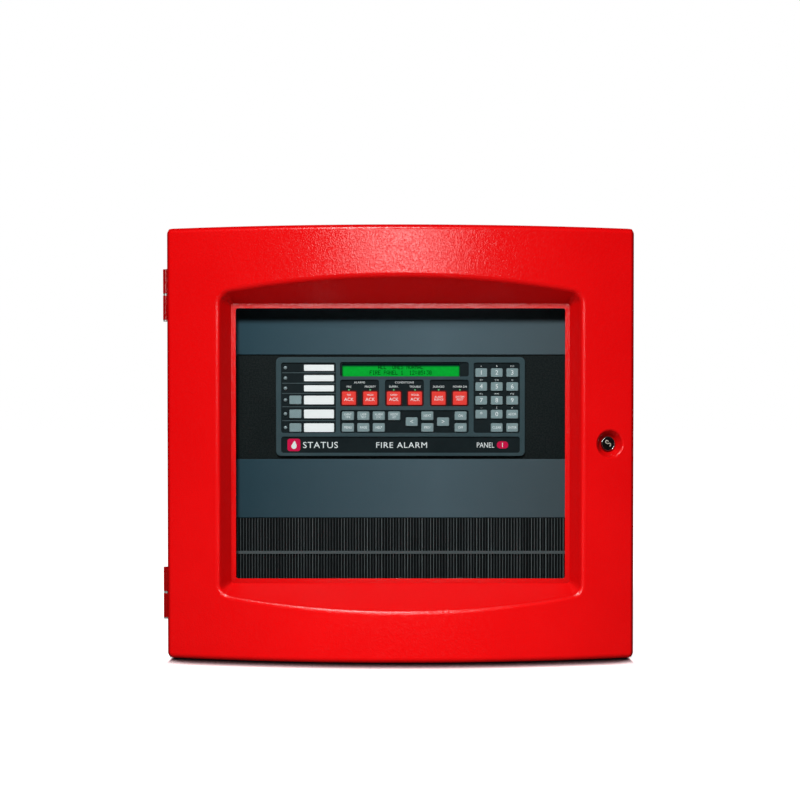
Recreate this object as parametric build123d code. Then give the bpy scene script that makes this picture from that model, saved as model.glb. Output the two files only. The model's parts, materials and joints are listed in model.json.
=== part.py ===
from build123d import *
import os
from math import asin, cos, degrees, hypot, radians, sin, sqrt

# A wall-mounted fire alarm control panel: a steel back box, a bowed front door with a recessed
# window and a cam lock, an inner door that carries the operator panel, and the electronics.
# Millimetres. X runs to the right as seen from the front, Y into the wall, Z up.
# The origin is the centre of the back face, which lies against the wall.

# ---------------------------------------------------------------- driving dimensions
WIDTH = 610.0              # 24 in format, box and door
BOX_H = 563.4
DOOR_H = 561.4             # a little less than the box, so that the panel stands on the box
BOX_D = 117.0
SHEET = 1.5                # steel sheet of the box and the inner door
BOX_FLANGE = 16.0          # inward return round the front opening

DOOR_GAP = 1.5             # from the box's front edge to the back of the door
DOOR_EDGE = 13.5           # depth of the door at its left and right edges
DOOR_BOW = 42.0            # how far the middle of the door stands in front of its edges
DOOR_T = 2.5               # wall of the door shell
DOOR_LIP = 10.0            # inward return round the back of the door
DOOR_CORNER_R, DOOR_ROUND = 7.5, 7.0   # corners as seen from the front, and the edge all round it

WINDOW_W, WINDOW_H = 430.0, 353.0      # clear opening
LEDGE = 6.0                            # flat ledge round the opening
POCKET_SLOPE_X, POCKET_SLOPE_Z = 0.83, 0.77    # sideways run of the pocket walls per unit of depth
POCKET_ROUND = 8.0                     # where the pocket's walls roll over into the bowed face

LOCK_X = 272.5             # where the lock's axis leaves the bowed face
HINGE_Z = 195.5            # height of each hinge's middle, above and below the centre
KNUCKLE_R, KNUCKLE_L, KNUCKLE_GAP = 3.4, 31.5, 3.0
HINGE_PIN_R, RUNNING = 2.0, 0.05

INNER_LEFT, INNER_RIGHT, INNER_H = -285.0, 250.0, 522.0
INNER_FACE_Y = -111.5      # front of the inner door's sheet
INNER_RETURN = 15.0
INNER_PIVOT = (-279.0, -104.0)
INNER_PIN_R = 2.4

# ---------------------------------------------------------------- derived places
BOX_FRONT = -BOX_D
DOOR_BACK = BOX_FRONT - DOOR_GAP
EDGE_Y = DOOR_BACK - DOOR_EDGE         # front of the door at its side edges, and the ledge's plane
CREST_Y = EDGE_Y - DOOR_BOW
BOW_R = ((WIDTH / 2) ** 2 + DOOR_BOW ** 2) / (2 * DOOR_BOW)
BOW_CENTRE_Y = CREST_Y + BOW_R
HINGE_X = -WIDTH / 2 - KNUCKLE_R - 0.1
HINGE_Y = BOX_FRONT - 1.0
PANE_T = 3.0
PANE_FRONT = EDGE_Y + DOOR_T

# Operator panel, on the inner door. Its left and right edges are symmetric about X = 0.
BEZEL_W, BEZEL_TOP, BEZEL_BOTTOM = 328.0, 113.6, -16.7
BEZEL_FLOOR_FRONT = INNER_FACE_Y - 2.5
BEZEL_FLOOR_BACK = INNER_FACE_Y - 0.5
BAR_FRONT = INNER_FACE_Y - 4.0
LCD_W, LCD_H, LCD_X, LCD_Z = 155.5, 16.7, 0.5, 96.8
KEY_FRONT = BAR_FRONT - 0.3
KEY_FLANGE_BACK = BEZEL_FLOOR_BACK + 1.2
KEY_STEM_BACK = KEY_FLANGE_BACK + 1.8
KEY_CLEARANCE = 0.3
BOARD_FRONT = INNER_FACE_Y + 7.0
BOARD_T = 1.6


def block(x0, x1, y0, y1, z0, z1):
    """A box between two opposite corners."""
    return Pos((x0 + x1) / 2, (y0 + y1) / 2, (z0 + z1) / 2) * Box(x1 - x0, y1 - y0, z1 - z0)


def upright(radius, x, y, z0, z1):
    """A round bar along Z."""
    return Pos(x, y, (z0 + z1) / 2) * Cylinder(radius, z1 - z0)


def along_y(radius, x, z, y0, y1):
    """A round bar along Y."""
    return Pos(x, (y0 + y1) / 2, z) * Rot(90, 0, 0) * Cylinder(radius, y1 - y0)


def bow_y(x):
    """Y of the door's bowed face at X."""
    return BOW_CENTRE_Y - sqrt(BOW_R ** 2 - x ** 2)


def save(name, shape):
    solids = shape.solids()
    whole = solids[0] if len(solids) == 1 else Compound(children=list(solids))
    export_step(whole, os.path.join("parts", name + ".step"))


# ---------------------------------------------------------------- back box
MOUNT_HOLE_R, MOUNT_X, MOUNT_Z = 4.0, 203.2, 250.0
CHASSIS_X, CHASSIS_Z0, CHASSIS_Z1 = 260.0, -90.0, 235.0
CHASSIS_BACK = -12.0
CHASSIS_STUDS = [(x, z) for x in (-240.0, 0.0, 255.0) for z in (-75.0, 228.0)]
STUD_R = 2.5


def knockout_groove(radius, depth=0.6, width=1.0):
    """The half-sheared ring of a conduit knockout, cut into a face that lies at Z = 0."""
    return Cylinder(radius + width / 2, 2 * depth) - Cylinder(radius - width / 2, 2 * depth)


def knockouts():
    """Ring grooves in the top, left and right walls."""
    rings = []
    for radius, x in ((14.0, -225.0), (11.2, -160.0), (11.2, -95.0), (14.0, 95.0), (11.2, 160.0), (14.0, 225.0)):
        rings.append(Pos(x, -55, BOX_H / 2) * knockout_groove(radius))
    for side in (-1, 1):
        for radius, z in ((14.0, 225.0), (11.2, 60.0), (11.2, 0.0), (14.0, -225.0)):
            rings.append(Pos(side * WIDTH / 2, -55, z) * Rot(0, 90, 0) * knockout_groove(radius))
    return rings


def knuckle(z0, leaf_y0, leaf_y1):
    """One rolled hinge knuckle and the flat leaf that welds it to the side of the box or the door."""
    z1 = z0 + KNUCKLE_L
    roll = upright(KNUCKLE_R, HINGE_X, HINGE_Y, z0, z1)
    leaf = block(-WIDTH / 2 - SHEET, -WIDTH / 2, leaf_y0, leaf_y1, z0, z1)
    bore = upright(HINGE_PIN_R + RUNNING, HINGE_X, HINGE_Y, z0 - 1, z1 + 1)
    return roll + leaf - bore


def back_box():
    half_w, half_h = WIDTH / 2, BOX_H / 2
    shell = block(-half_w, half_w, BOX_FRONT, 0, -half_h, half_h)
    shell = fillet(shell.edges().filter_by(Axis.Y), 2.5)
    shell -= block(-half_w + SHEET, half_w - SHEET, BOX_FRONT + SHEET, -SHEET, -half_h + SHEET, half_h - SHEET)
    open_w, open_h = half_w - BOX_FLANGE, half_h - BOX_FLANGE
    shell -= block(-open_w, open_w, BOX_FRONT - 1, BOX_FRONT + SHEET + 1, -open_h, open_h)
    for ring in knockouts():
        shell -= ring
    for x in (-MOUNT_X, MOUNT_X):
        for z in (-MOUNT_Z, MOUNT_Z):
            shell -= along_y(MOUNT_HOLE_R, x, z, -SHEET - 1, 1)
    for x, z in CHASSIS_STUDS:
        shell += along_y(6.0, x, z, CHASSIS_BACK, -SHEET)
        shell += along_y(STUD_R, x, z, CHASSIS_BACK - 8.5, -SHEET)
    for side in (-1, 1):
        shell += knuckle(side * HINGE_Z - KNUCKLE_GAP / 2 - KNUCKLE_L, HINGE_Y, HINGE_Y + 26)
        shell += inner_door_rest(side * 170)
    return shell


def inner_door_rest(z):
    """A bracket on the right wall that the closed inner door bears on, with a magnet in it."""
    wall, front = WIDTH / 2 - SHEET, INNER_FACE_Y + INNER_RETURN + 0.2
    rest = block(INNER_RIGHT - 12, wall, front, front + 1.5, z - 16, z + 16)
    rest += block(wall - 1.5, wall, front, front + 18, z - 16, z + 16)
    return rest + block(INNER_RIGHT - 10, INNER_RIGHT + 12, front + 1.5, front + 7, z - 9, z + 9)


def hinge_pins():
    """Two headed pins, each held in the box's knuckle, on which the door lifts off."""
    pins = []
    for side in (-1, 1):
        z = side * HINGE_Z
        reach = KNUCKLE_L + KNUCKLE_GAP / 2
        pin = upright(HINGE_PIN_R, HINGE_X, HINGE_Y, z - reach - 1.0, z + reach - 2.0)
        head = upright(KNUCKLE_R - 0.4, HINGE_X, HINGE_Y, z - reach - 2.2, z - reach)
        washer = upright(KNUCKLE_R - 0.5, HINGE_X, HINGE_Y, z - KNUCKLE_GAP / 2, z + KNUCKLE_GAP / 2 - 0.2)
        pins.append(pin + head + washer)
    return Compound(children=[p.solids()[0] for p in pins])


def inner_hinge_brackets():
    """Two angle brackets on the left wall, each with an upright pin for the inner door."""
    px, py = INNER_PIVOT
    wall = -WIDTH / 2 + SHEET
    top = INNER_H / 2
    upper = block(wall, px + 8, py - 7, py + 9, top + 2, top + 4)
    upper += block(wall, wall + 2, py - 7, py + 9, top - 28, top + 4)
    upper += upright(INNER_PIN_R, px, py, top - 7, top + 3)
    lower = mirror(upper, Plane.XY)
    return Compound(children=[upper.solids()[0], lower.solids()[0]])


# ---------------------------------------------------------------- bowed door
def bowed_block(inset, back_y):
    """The door's rounded block, bowed in front, with its front and its four sides moved in by inset."""
    half = WIDTH / 2 - inset
    radius = BOW_R - inset
    edge_y = BOW_CENTRE_Y - sqrt(radius ** 2 - half ** 2)
    crest_y = BOW_CENTRE_Y - radius
    outline = Polyline((-half, edge_y), (-half, back_y), (half, back_y), (half, edge_y))
    front = ThreePointArc((half, edge_y), (0, crest_y), (-half, edge_y))
    height = DOOR_H - 2 * inset
    body = Pos(0, 0, -height / 2) * extrude(make_face([outline, front]), height)
    body = fillet(body.edges().filter_by(Axis.Y), DOOR_CORNER_R - inset)
    front_loop = body.faces().sort_by(Axis.Y)[0].outer_wire().edges()
    return fillet(front_loop, DOOR_ROUND - inset)


def pocket(margin, floor_y):
    """The window pocket's funnel: a rounded rectangle at the ledge that widens to the front."""
    run = floor_y - (CREST_Y - 12)
    width, height = WINDOW_W + 2 * LEDGE + 2 * margin, WINDOW_H + 2 * LEDGE + 2 * margin
    wide, tall = width + 2 * POCKET_SLOPE_X * run, height + 2 * POCKET_SLOPE_Z * run
    near = Plane((0, floor_y, 0), x_dir=(1, 0, 0), z_dir=(0, -1, 0))
    small = near * RectangleRounded(width, height, 4 + margin)
    large = near.offset(run) * RectangleRounded(wide, tall, 34 + margin)
    return loft([small, large])


LOCK_TILT = degrees(asin(LOCK_X / BOW_R))
LOCK_PLANE = Plane(
    (LOCK_X, bow_y(LOCK_X), 0),
    x_dir=(cos(radians(LOCK_TILT)), sin(radians(LOCK_TILT)), 0),
    z_dir=(sin(radians(LOCK_TILT)), -cos(radians(LOCK_TILT)), 0),
)
DISH_R, DISH_FLOOR_R, DISH_DEPTH, DISH_ROUND = 18.0, 11.5, 8.5, 3.0
BARREL_R, PLUG_R = 8.0, 6.0
BARREL_END, CAM_FRONT, CAM_T, CAM_REACH = 24.5, 25.0, 2.0, 32.0


def lock_bar(radius, depth0, depth1):
    """A round bar on the lock's axis between two depths below the bowed face."""
    return LOCK_PLANE * Pos(0, 0, -(depth0 + depth1) / 2) * Cylinder(radius, depth1 - depth0)


def lock_cone(r0, depth0, r1, depth1):
    """A cone on the lock's axis: radius r0 at depth0, r1 at the greater depth1."""
    return LOCK_PLANE * Pos(0, 0, -(depth0 + depth1) / 2) * Cone(r1, r0, depth1 - depth0)


def door_shell():
    body = bowed_block(0, DOOR_BACK) - pocket(0, EDGE_Y)
    body = fillet(bow_edges(body, round_the_pocket), POCKET_ROUND)
    slope = (DISH_R - DISH_FLOOR_R) / DISH_DEPTH
    over = 3.0
    body -= lock_cone(DISH_R + slope * over, -over, DISH_FLOOR_R, DISH_DEPTH)
    body = fillet(bow_edges(body, round_the_dish), DISH_ROUND)

    hollow = bowed_block(DOOR_T, DOOR_BACK - DOOR_T)
    hollow -= pocket(DOOR_T * 1.28, EDGE_Y + DOOR_T)
    land_w, land_h = WINDOW_W / 2 + 28, WINDOW_H / 2 + 28
    hollow -= block(-land_w, land_w, EDGE_Y, EDGE_Y + DOOR_T, -land_h, land_h)
    hollow -= lock_cone(DISH_R + DOOR_T + slope * over, -over, DISH_FLOOR_R + DOOR_T, DISH_DEPTH + DOOR_T)
    half_w, half_h = WIDTH / 2 - DOOR_T - DOOR_LIP, DOOR_H / 2 - DOOR_T - DOOR_LIP
    hollow += block(-half_w, half_w, DOOR_BACK - DOOR_T - 1, DOOR_BACK + 1, -half_h, half_h)
    body -= hollow

    opening = block(-WINDOW_W / 2, WINDOW_W / 2, EDGE_Y - 5, EDGE_Y + 10, -WINDOW_H / 2, WINDOW_H / 2)
    body -= fillet(opening.edges().filter_by(Axis.Y), 3)
    body -= lock_bar(BARREL_R + 0.3, DISH_DEPTH - 1, DISH_DEPTH + DOOR_T + 2)
    for side in (-1, 1):
        body += knuckle(side * HINGE_Z + KNUCKLE_GAP / 2, HINGE_Y - 6.5, HINGE_Y)
    return body


def bow_edges(body, wanted):
    """The edges that lie on the bowed face and whose middle point is wanted."""
    found = []
    for edge in body.edges():
        middle = edge.position_at(0.5)
        above_bow = hypot(middle.X, middle.Y - BOW_CENTRE_Y) - BOW_R
        if abs(above_bow) < 0.05 and wanted(middle):
            found.append(edge)
    return found


def round_the_pocket(point):
    return abs(point.X) < WIDTH / 2 - 40 and abs(point.Z) < DOOR_H / 2 - 20


def round_the_dish(point):
    on_lock = LOCK_PLANE.to_local_coords(point)
    return hypot(on_lock.X, on_lock.Y) < DISH_R + 1


def window_pane():
    half_w, half_h = WINDOW_W / 2 + 12, WINDOW_H / 2 + 12
    pane = block(-half_w, half_w, PANE_FRONT, PANE_FRONT + PANE_T, -half_h, half_h)
    return fillet(pane.edges().filter_by(Axis.Y), 6)


def frame_ring(half_w, half_h, width, y0, y1):
    """A flat rectangular ring whose outer edge is half_w by half_h."""
    outer = block(-half_w, half_w, y0, y1, -half_h, half_h)
    inner = block(-half_w + width, half_w - width, y0 - 1, y1 + 1, -half_h + width, half_h - width)
    return outer - inner


def window_retainer():
    """A Z-section steel frame that clamps the pane against the back of the ledge."""
    gauge = 1.2
    pane_back = PANE_FRONT + PANE_T
    lip_w, lip_h = WINDOW_W / 2 + 15.2, WINDOW_H / 2 + 15.2
    frame = frame_ring(lip_w, lip_h, 13.2, pane_back, pane_back + gauge)
    frame += frame_ring(lip_w, lip_h, gauge, PANE_FRONT, pane_back + gauge)
    frame += frame_ring(lip_w + 11, lip_h + 11, 11 + gauge, PANE_FRONT, PANE_FRONT + gauge)
    return frame


# ---------------------------------------------------------------- cam lock
def lock_barrel():
    """The flanged barrel through the dish's floor, bored for the plug."""
    barrel = lock_bar(9.5, DISH_DEPTH - 2.2, DISH_DEPTH)
    barrel = fillet(barrel.edges().sort_by(Axis.Y)[0], 0.8)
    barrel += lock_bar(BARREL_R, DISH_DEPTH, BARREL_END)
    barrel -= lock_bar(PLUG_R + RUNNING, 0, BARREL_END + 2)
    return barrel


def lock_nut():
    nut_front = DISH_DEPTH + DOOR_T
    hexagon = LOCK_PLANE * Pos(0, 0, -nut_front - 4) * extrude(RegularPolygon(12.2, 6), 4)
    return hexagon - lock_bar(BARREL_R + RUNNING, nut_front - 1, nut_front + 6)


def lock_plug():
    """The plug with its keyway, its square tail for the cam and the screw that holds the cam."""
    plug = lock_bar(PLUG_R, DISH_DEPTH - 1.6, BARREL_END + 0.2)
    plug += LOCK_PLANE * Pos(0, 0, -(BARREL_END + CAM_FRONT + CAM_T) / 2) * Box(7, 7, CAM_FRONT + CAM_T - BARREL_END)
    plug += lock_bar(5.2, CAM_FRONT + CAM_T, CAM_FRONT + CAM_T + 2.2)
    keyway = LOCK_PLANE * Pos(0, 0, -DISH_DEPTH - 4) * Box(1.8, 7.4, 12)
    return plug - keyway


def lock_cam():
    """The flat cam. It points up when unlocked, and turns behind the box's right flange to lock."""
    blade = RectangleRounded(14, CAM_REACH + 7, 5)
    cam = LOCK_PLANE * Pos(0, CAM_REACH / 2 - 3.5, -CAM_FRONT - CAM_T) * extrude(blade, CAM_T)
    return cam - LOCK_PLANE * Pos(0, 0, -CAM_FRONT - CAM_T / 2) * Box(7.06, 7.06, CAM_T + 2)


# ---------------------------------------------------------------- inner door and its dress panels
DRESS_HALF_W = 240.0
UPPER_TRIM = (117.0, 205.0)
LOWER_TRIM = (-98.0, -20.8)
RIB_ZONE = (-236.0, -98.6)
RIB_RAIL_Z = -143.8
RIB_PITCH, RIB_W, RIB_DEPTH, RIB_BASE = 3.8, 1.3, 2.2, 0.8


def inner_door():
    """A sheet tray with returns all round, cut out behind the operator panel."""
    half_h = INNER_H / 2
    back = INNER_FACE_Y + INNER_RETURN
    tray = block(INNER_LEFT, INNER_RIGHT, INNER_FACE_Y, back, -half_h, half_h)
    tray = fillet(tray.edges().filter_by(Axis.Y), 3)
    tray -= block(INNER_LEFT + SHEET, INNER_RIGHT - SHEET, INNER_FACE_Y + SHEET, back + 1,
                  -half_h + SHEET, half_h - SHEET)
    cut_w = BEZEL_W / 2 - CUT_MARGIN
    tray -= block(-cut_w, cut_w, INNER_FACE_Y - 1, INNER_FACE_Y + SHEET + 1,
                  BEZEL_BOTTOM + CUT_MARGIN, BEZEL_TOP - CUT_MARGIN)
    px, py = INNER_PIVOT
    tray -= upright(INNER_PIN_R + RUNNING, px, py, -half_h - 1, half_h + 1)
    return tray


def trim_plates():
    """The two plain plates above and below the operator panel."""
    plates = []
    for z0, z1 in (UPPER_TRIM, LOWER_TRIM):
        plate = block(-DRESS_HALF_W, DRESS_HALF_W, INNER_FACE_Y - 1.6, INNER_FACE_Y, z0, z1)
        front = plate.faces().sort_by(Axis.Y)[0]
        plates.append(fillet(front.edges(), 0.6).solids()[0])
    return Compound(children=plates)


def rib_panel():
    """A panel of fine upright ribs with one rail across them."""
    count = int(2 * DRESS_HALF_W / RIB_PITCH)
    base_y = INNER_FACE_Y - RIB_BASE
    tip_y = base_y - RIB_DEPTH
    first = -(count - 1) * RIB_PITCH / 2
    points = [(-DRESS_HALF_W, INNER_FACE_Y), (-DRESS_HALF_W, base_y)]
    for i in range(count):
        x = first + i * RIB_PITCH
        points += [(x - RIB_W / 2, base_y), (x - RIB_W / 4, tip_y), (x + RIB_W / 4, tip_y), (x + RIB_W / 2, base_y)]
    points += [(DRESS_HALF_W, base_y), (DRESS_HALF_W, INNER_FACE_Y)]
    comb = make_face([Polyline(*points, close=True)])
    z0, z1 = RIB_ZONE
    panel = Pos(0, 0, z0) * extrude(comb, z1 - z0)
    rail = block(-DRESS_HALF_W, DRESS_HALF_W, tip_y - 0.5, INNER_FACE_Y, RIB_RAIL_Z - 1.9, RIB_RAIL_Z + 1.9)
    return panel + rail


# ---------------------------------------------------------------- operator panel
# Pockets in the bezel: x0, x1, z0, z1.
LEFT_COLUMN = (-157.2, -85.0, 14.0, 106.5)
LCD_POCKET = (-79.6, 90.0, 88.2, 107.2)
FUNCTION_POCKET = (-79.6, 90.0, 14.0, 43.8)
NUMBER_POCKET = (96.3, 157.2, 14.0, 106.5)
TITLE_POCKET = (-157.2, 157.2, -12.3, 9.0)
ALARM_POCKETS = [(x, x + 51.4, 49.0, 84.0) for x in (-79.6, -20.5, 38.6)]
POCKETS = [LEFT_COLUMN, LCD_POCKET, FUNCTION_POCKET, NUMBER_POCKET, TITLE_POCKET] + ALARM_POCKETS

ALARM_KEY = (18.2, 17.6)
FLAT_KEY = (15.8, 11.4)
NUMBER_KEY = (15.4, 11.4)
ALARM_NAMES = ("fire_ack", "priority_ack", "supervisory_ack", "trouble_ack", "silence", "reset")
NUMBER_NAMES = (("1", "2", "3"), ("4", "5", "6"), ("7", "8", "9"), ("star", "0", "address"), (None, "clear", "enter"))
NUMBER_ROWS = (93.1, 74.8, 56.6, 38.4, 20.8)
LABEL_ROWS = ((99.6, 8.0), (86.0, 8.0), (72.6, 8.0), (57.2, 11.4), (38.9, 11.4), (20.8, 11.4))
LED_X, ZONE_KEY_X, LABEL_X, LABEL_W = -151.6, -138.4, -107.4, 39.4
ALARM_LED_Z = 70.4


def key_places():
    """Every key of the operator panel: name -> (x, z, width, height)."""
    places = {}
    for i, name in enumerate(ALARM_NAMES):
        pocket_x = ALARM_POCKETS[i // 2][0]
        places[name] = (pocket_x + 25.7 + (14.0 if i % 2 else -14.0), 59.4, *ALARM_KEY)
    for i, (z, _) in enumerate(LABEL_ROWS[3:]):
        places[f"zone_{i + 1}"] = (ZONE_KEY_X, z, *FLAT_KEY)
    upper, lower, middle = 36.3, 20.9, 28.5
    for i, name in enumerate(("function_1", "function_2", "function_3", "function_4")):
        places[name] = (-69.2 + 20.3 * i, upper, *FLAT_KEY)
    for i, name in enumerate(("function_5", "function_6", "function_7")):
        places[name] = (-69.2 + 20.3 * i, lower, *FLAT_KEY)
    places["left"] = (14.8, middle, *FLAT_KEY)
    places["up"] = (35.4, upper, *FLAT_KEY)
    places["down"] = (35.4, lower, *FLAT_KEY)
    places["right"] = (56.1, middle, *FLAT_KEY)
    places["enable"] = (79.2, upper, *FLAT_KEY)
    places["disable"] = (79.2, lower, *FLAT_KEY)
    for row, z in zip(NUMBER_NAMES, NUMBER_ROWS):
        for column, name in enumerate(row):
            if name:
                places[name] = (106.4 + 20.4 * column, z, *NUMBER_KEY)
    return places


KEYS = key_places()

# The operator board hangs on pins of the bezel that are melted over behind it.
STAKES = [(-118.0, 103.5), (126.8, 103.5), (-118.0, -4.0), (126.8, -4.0)]
STAKE_R = 1.4
CUT_MARGIN = 4.0           # from the bezel's outer edge to the cut-out behind it


def operator_bezel():
    """The framed plate with raised bars, pierced for the keys, the lamps and the display."""
    half = BEZEL_W / 2
    bezel = block(-half, half, BAR_FRONT, INNER_FACE_Y, BEZEL_BOTTOM, BEZEL_TOP)
    bezel = fillet(bezel.edges().filter_by(Axis.Y), 6.5)
    bezel = fillet(bezel.faces().sort_by(Axis.Y)[0].edges(), 0.8)
    bezel -= block(-half + 2, half - 2, BEZEL_FLOOR_BACK, INNER_FACE_Y + 1, BEZEL_BOTTOM + 2, BEZEL_TOP - 2)
    for x0, x1, z0, z1 in POCKETS:
        recess = block(x0, x1, BAR_FRONT - 1, BEZEL_FLOOR_FRONT, z0, z1)
        bezel -= fillet(recess.edges().filter_by(Axis.Y), 3.0)
    bezel -= block(LCD_X - LCD_W / 2, LCD_X + LCD_W / 2, BAR_FRONT, BEZEL_FLOOR_BACK + 1,
                   LCD_Z - LCD_H / 2, LCD_Z + LCD_H / 2)
    for x, z, w, h in KEYS.values():
        w, h = w / 2 + KEY_CLEARANCE, h / 2 + KEY_CLEARANCE
        hole = block(x - w, x + w, BAR_FRONT, BEZEL_FLOOR_BACK + 1, z - h, z + h)
        bezel -= fillet(hole.edges().filter_by(Axis.Y), 1.5)
    for x, z, radius in lamp_places():
        bezel -= along_y(radius + 0.15, x, z, BAR_FRONT, BEZEL_FLOOR_BACK + 1)
    for x, z in STAKES:
        bezel += along_y(3.0, x, z, BEZEL_FLOOR_BACK - 0.1, BOARD_FRONT)
        bezel += along_y(STAKE_R, x, z, BOARD_FRONT - 0.1, BOARD_FRONT + BOARD_T + 0.9)
        bezel += along_y(2.2, x, z, BOARD_FRONT + BOARD_T, BOARD_FRONT + BOARD_T + 0.9)
    for x in (-140, -100, 100, 140):
        bezel += snap_tab(x, BEZEL_TOP - CUT_MARGIN, 1)
        bezel += snap_tab(x, BEZEL_BOTTOM + CUT_MARGIN, -1)
    return bezel


def snap_tab(x, edge_z, side):
    """A tab that passes through the inner door's cut-out and hooks behind its sheet."""
    root = edge_z - side * 0.2
    hook_y = INNER_FACE_Y + SHEET + 0.1
    low, high = sorted((root - side * 1.6, root))
    tab = block(x - 5, x + 5, BEZEL_FLOOR_BACK - 0.1, hook_y + 1.2, low, high)
    low, high = sorted((root, root + side * 1.2))
    return tab + block(x - 5, x + 5, hook_y, hook_y + 1.2, low, high)


def lamp_places():
    """Every status lamp: x, z, radius."""
    lamps = [(LED_X, z, 1.6) for z, _ in LABEL_ROWS]
    lamps += [(KEYS[name][0], ALARM_LED_Z, 0.9) for name in ALARM_NAMES]
    return lamps


def key_cap(x, z, w, h):
    """A cap with a soft front edge, the flange that holds it behind the bezel, and its stem."""
    cap = block(x - w / 2, x + w / 2, KEY_FRONT, BEZEL_FLOOR_BACK + 0.25, z - h / 2, z + h / 2)
    cap = fillet(cap.edges().filter_by(Axis.Y), 1.5)
    cap = fillet(cap.faces().sort_by(Axis.Y)[0].edges(), 0.7)
    rim = 1.2
    flange = block(x - w / 2 - rim, x + w / 2 + rim, BEZEL_FLOOR_BACK + 0.2, KEY_FLANGE_BACK,
                   z - h / 2 - rim, z + h / 2 + rim)
    stem = block(x - 2.5, x + 2.5, KEY_FLANGE_BACK - 0.1, KEY_STEM_BACK, z - 2.5, z + 2.5)
    return cap + flange + stem


def lcd_module():
    """The display: a flat glass in a pressed frame, with its own small circuit board."""
    z0, z1 = LCD_Z - 12.4, LCD_Z + 12.4
    board_back = BOARD_FRONT - 1.2
    frame = block(LCD_X - 91, LCD_X + 91, BEZEL_FLOOR_BACK, board_back - BOARD_T, z0 + 0.5, z1 - 0.5)
    frame = fillet(frame.edges().filter_by(Axis.Y), 2)
    board = block(LCD_X - 91, LCD_X + 91, board_back - BOARD_T, board_back, z0, z1)
    header = block(LCD_X - 84, LCD_X - 44, board_back, BOARD_FRONT, z1 - 4.5, z1 - 2)
    return frame + board + header


def operator_board():
    """The circuit board behind the keys, with a switch under each key, the lamps and a header."""
    board = block(-156, 156, BOARD_FRONT, BOARD_FRONT + BOARD_T, BEZEL_BOTTOM + 6, BEZEL_TOP - 6)
    for x, z, _, _ in KEYS.values():
        board += block(x - 3, x + 3, BOARD_FRONT - 1.4, BOARD_FRONT, z - 3, z + 3)
    for x, z, radius in lamp_places():
        board += along_y(radius, x, z, BEZEL_FLOOR_FRONT - 0.4, BOARD_FRONT)
    for x, z in STAKES:
        board -= along_y(STAKE_R + RUNNING, x, z, BOARD_FRONT - 1, BOARD_FRONT + BOARD_T + 1)
    header = block(-150, -126, BOARD_FRONT + BOARD_T, BOARD_FRONT + BOARD_T + 6.5, -8, 0)
    sounder = along_y(9, 60, 0, BOARD_FRONT + BOARD_T, BOARD_FRONT + BOARD_T + 7)
    return board + header + sounder


def label_cards():
    """Six blank write-on cards on the left column of the bezel."""
    cards = []
    for z, height in LABEL_ROWS:
        card = block(LABEL_X - LABEL_W / 2, LABEL_X + LABEL_W / 2, BEZEL_FLOOR_FRONT - 0.5, BEZEL_FLOOR_FRONT,
                     z - height / 2, z + height / 2)
        cards.append(fillet(card.edges().filter_by(Axis.Y), 1.0).solids()[0])
    return Compound(children=cards)


# ---------------------------------------------------------------- electronics
PCB_T = 1.6
PCB_BACK = CHASSIS_BACK - SHEET - 8.0
PCB_FRONT = PCB_BACK - PCB_T
CONTROL_BOARD = (-250.0, 50.0, 30.0, 220.0)
POWER_BOARD = (68.0, 248.0, 30.0, 220.0)


def board_holes(area, inset=6.0):
    x0, x1, z0, z1 = area
    return [(x, z) for x in (x0 + inset, x1 - inset) for z in (z0 + inset, z1 - inset)]


def chassis_plate():
    """The steel plate that carries the boards, with stand-off pillars and stiffening flanges."""
    plate = block(-CHASSIS_X, CHASSIS_X, CHASSIS_BACK - SHEET, CHASSIS_BACK, CHASSIS_Z0, CHASSIS_Z1)
    for z0, z1 in ((CHASSIS_Z0, CHASSIS_Z0 + SHEET), (CHASSIS_Z1 - SHEET, CHASSIS_Z1)):
        plate += block(-CHASSIS_X, CHASSIS_X, CHASSIS_BACK - 9, CHASSIS_BACK, z0, z1)
    for x, z in CHASSIS_STUDS:
        plate -= along_y(STUD_R + 0.25, x, z, CHASSIS_BACK - SHEET - 1, CHASSIS_BACK + 1)
    for x, z in board_holes(CONTROL_BOARD) + board_holes(POWER_BOARD):
        plate += along_y(3.5, x, z, PCB_BACK, CHASSIS_BACK - SHEET)
    return plate


def on_board(x, z, w, h, tall):
    """A component standing on the front of a circuit board."""
    return block(x - w / 2, x + w / 2, PCB_FRONT - tall, PCB_FRONT, z - h / 2, z + h / 2)


def bare_board(area):
    x0, x1, z0, z1 = area
    board = block(x0, x1, PCB_FRONT, PCB_BACK, z0, z1)
    return fillet(board.edges().filter_by(Axis.Y), 2)


def terminal_row(x0, z, poles, pitch=7.6):
    """A row of pluggable screw terminals; the wire entries face down."""
    row = on_board(x0 + poles * pitch / 2, z, poles * pitch, 11, 15)
    for i in range(poles):
        x = x0 + (i + 0.5) * pitch
        row -= along_y(2.1, x, z + 1, PCB_FRONT - 16, PCB_FRONT - 11)
        row -= block(x - 2.2, x + 2.2, PCB_FRONT - 9, PCB_FRONT - 4, z - 6, z - 2)
    return row


def control_board():
    """The main board: processor, memory, relays, and rows of field terminals along the bottom."""
    board = bare_board(CONTROL_BOARD)
    board += terminal_row(-240, 38, 12)
    board += terminal_row(-140, 38, 12)
    board += terminal_row(-40, 38, 10)
    board += on_board(-60, 150, 28, 28, 3.4)
    board += on_board(-110, 165, 20, 14, 3.0)
    board += on_board(-110, 140, 20, 14, 3.0)
    for i in range(4):
        board += on_board(-225 + 24 * i, 66, 19, 15, 15)
    for x in (-112, -84, -56, -28, 0, 28):
        board += on_board(x, 64, 16, 9, 9)
    board += on_board(-215, 205, 44, 9, 9)
    board += along_y(10, 22, 190, PCB_FRONT - 5, PCB_FRONT)
    return board


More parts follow.
